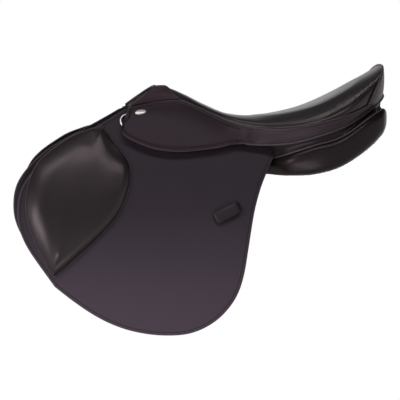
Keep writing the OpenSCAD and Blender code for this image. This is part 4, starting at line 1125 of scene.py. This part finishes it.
def skirt_top(u, q):
    """Fixed part of the skirt: from the bend (q 0) over a rounded shoulder to the seat's edge (q 1)."""
    edge = along_seat(seat_edge, u)
    head = np.stack([edge[..., 0], -edge[..., 1] - band_stand, edge[..., 2] - seam_drop], -1)
    t, s, layer = skirt_line(u)
    k = u / skirt_share
    up = (30 * (1 - ease((k - 0.6) / 0.5)) + 8) * mix(0.3, 1, ease(k / 0.3))
    tilt = lean(s, layer)
    shoulder = side_point(t, wall(s, layer) - up * np.sin(tilt), s + up * np.cos(tilt))
    return arc(on_wall(t, s, layer), shoulder, head, q)


def skirt_leaf(u, r):
    """Leaf of the skirt on its layer of the wall: from the bend (r 0) to its lower edge (r 1)."""
    t, high, layer = skirt_line(u)
    low = np.where(t < skirt_end, np.interp(t, skirt_foot[:, 0], skirt_foot[:, 1]), high)
    return on_wall(t, mix(high, np.minimum(low, high), r), layer)


skirt_u = skirt_top_end * np.linspace(0, 1, 141) ** 1.25
down_q, down_r = np.linspace(1, 0, 41), np.linspace(0, 1, 33)[1:]
skirt_grid = np.concatenate([
    skirt_top(*mesh_grid(skirt_u, down_q)), skirt_leaf(*mesh_grid(skirt_u, down_r))], 1)

# The tail of the skirt follows the band for a little way, stands on its end and goes in under it.
tail_reach, tail_stand, tail_under = 0.16, 0.9, 3.2
tail = np.linspace(0, 1, 25)[1:, None]
tail_q = np.pad(down_q, (0, len(down_r)))[None]
tail_start = band_point(np.zeros((1, 1)), tail_q)
tail_in = tail_under * ease((tail - 0.45) / 0.55) - tail_stand * np.sin(np.pi * tail)
tail_rows = (skirt_grid[-1:] + band_point(tail_reach * tail, tail_q) - tail_start
             + ease(tail)[..., None] * (tail_start - skirt_grid[-1:])
             + tail_in[..., None] * np.array((0, 1.0, -0.2)))
skirt_grid = np.concatenate([skirt_grid, tail_rows])
skirt_chart = grid_chart(skirt_grid)
front_gap = np.linalg.norm(skirt_grid - skirt_grid[:1], axis=-1)
skirt_chart[..., 1] = np.minimum(skirt_chart[..., 1], front_gap)
skirt_face = face_normals(skirt_grid)
skirt_face *= -np.sign(np.sum(skirt_face[..., 1]))
bead_at, crease_at, bead_high = 3.6, 7.4, 0.9
bead = np.exp(-((skirt_chart[..., 1] - bead_at) / 2.2) ** 2)
bead = bead - 0.9 * np.exp(-((skirt_chart[..., 1] - crease_at) / 1.4) ** 2)
skirt_grid = skirt_grid + bead_high * bead[..., None] * skirt_face
# Painted highlight: the skirt's cut edge is coloured lighter than the leather.
skirt_finish = leather("skirt_leather", skirt_brown, 0.48, 0.13, edge=(0.055, 0.040, 0.048),
                       crease=(crease_at,))
for side in SIDES:
    skirt = surface(f"skirt_cover_{side}", skirt_grid * SIDES[side], facing=OUT[side], uv=skirt_chart)
    put_on(thicken(skirt, skirt_leather, 0.9), skirt_finish, None, "flap_leather",
           f"skirt_{side}", f"skirt_top_{side}")
    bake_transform(skirt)

# Fittings: a plain steel dee on each side in a leather chape nailed to the flap, and an oval nail
# with a domed head at the front corner of each skirt.
dee_t, dee_s, dee_r, dee_wire = -145.0, 39.0, 12.0, 1.75
dee_clear, chape_leather, chape_rest = 0.3, 1.2, 0.5
dee_layer = dee_wire + dee_clear + chape_leather + chape_rest
bright_steel = steel("bright_steel", (0.52, 0.47, 0.46), 0.36)
dee_turn = np.linspace(np.pi / 2, 3 * np.pi / 2, 41)
dee_loop = np.vstack([
    np.stack([np.zeros(12), np.linspace(-dee_r, dee_r, 14)[1:-1]], -1),
    np.stack([dee_r * np.cos(dee_turn), dee_r * np.sin(dee_turn)], -1)])
dee_up = np.array((np.sin(lean(dee_s, dee_layer)), np.cos(lean(dee_s, dee_layer))))
dee_path = side_point(dee_t + dee_loop[:, 0], wall(dee_s, dee_layer) - dee_loop[:, 1] * dee_up[0],
                      dee_s + dee_loop[:, 1] * dee_up[1])
keep_cad(strap_leather, 0.0004, *each_side("dee_chape"))
for side in SIDES:
    dee = tube(f"dee_ring_{side}", dee_path * SIDES[side], dee_wire, (0, 1, 0), ends=False, sides=14)
    put_on(dee, bright_steel, f"dee_{side}", "steel", f"dee_{side}")

nail_u, nail_q, nail_long, nail_wide, nail_high = 0.055, 0.36, 10.4, 5.0, 2.4
nail_lift, nail_slant = 0.4, np.radians(8.0)


def by_nail(u_step, q_step):
    """Point of the skirt that lies these steps from the nail's place."""
    return skirt_top(np.array(nail_u + u_step), np.array(nail_q + q_step))


nail_place = by_nail(0.0, 0.0)
nail_along = by_nail(0.01, 0.0) - by_nail(-0.01, 0.0)
nail_down = by_nail(0.0, -0.02) - by_nail(0.0, 0.02)
nail_out = np.cross(nail_down, nail_along)
nail_out /= np.linalg.norm(nail_out)
nail_out *= -np.sign(nail_out[1])
nail_front = nail_along / np.linalg.norm(nail_along)
nail_side = np.cross(nail_out, nail_front)
nail_front, nail_side = (np.cos(nail_slant) * nail_front + np.sin(nail_slant) * nail_side,
                         np.cos(nail_slant) * nail_side - np.sin(nail_slant) * nail_front)
nail_round = np.linspace(0, 2 * np.pi, 40, endpoint=False)
nail_turn, nail_ring = mesh_grid(np.linspace(0, np.pi / 2, 11), nail_round)
nail_spread = np.sin(nail_turn) ** 0.85
nail_rise = nail_high * np.cos(nail_turn) ** 0.7 + nail_lift
nail_dome = (nail_place + (nail_spread * nail_long * np.cos(nail_ring))[..., None] * nail_front
             + (nail_spread * nail_wide * np.sin(nail_ring))[..., None] * nail_side
             + nail_rise[..., None] * nail_out)
nail_foot = np.repeat((nail_place + nail_lift * nail_out)[None, None], len(nail_round), 1)
nail_left = surface("nail_left", np.concatenate([nail_dome, nail_foot]), ring=True)
put_on(nail_left, bright_steel, "saddle", "steel", "saddle_nails")
put_on(other_side(nail_left, "nail_right"), bright_steel, "saddle", "steel")
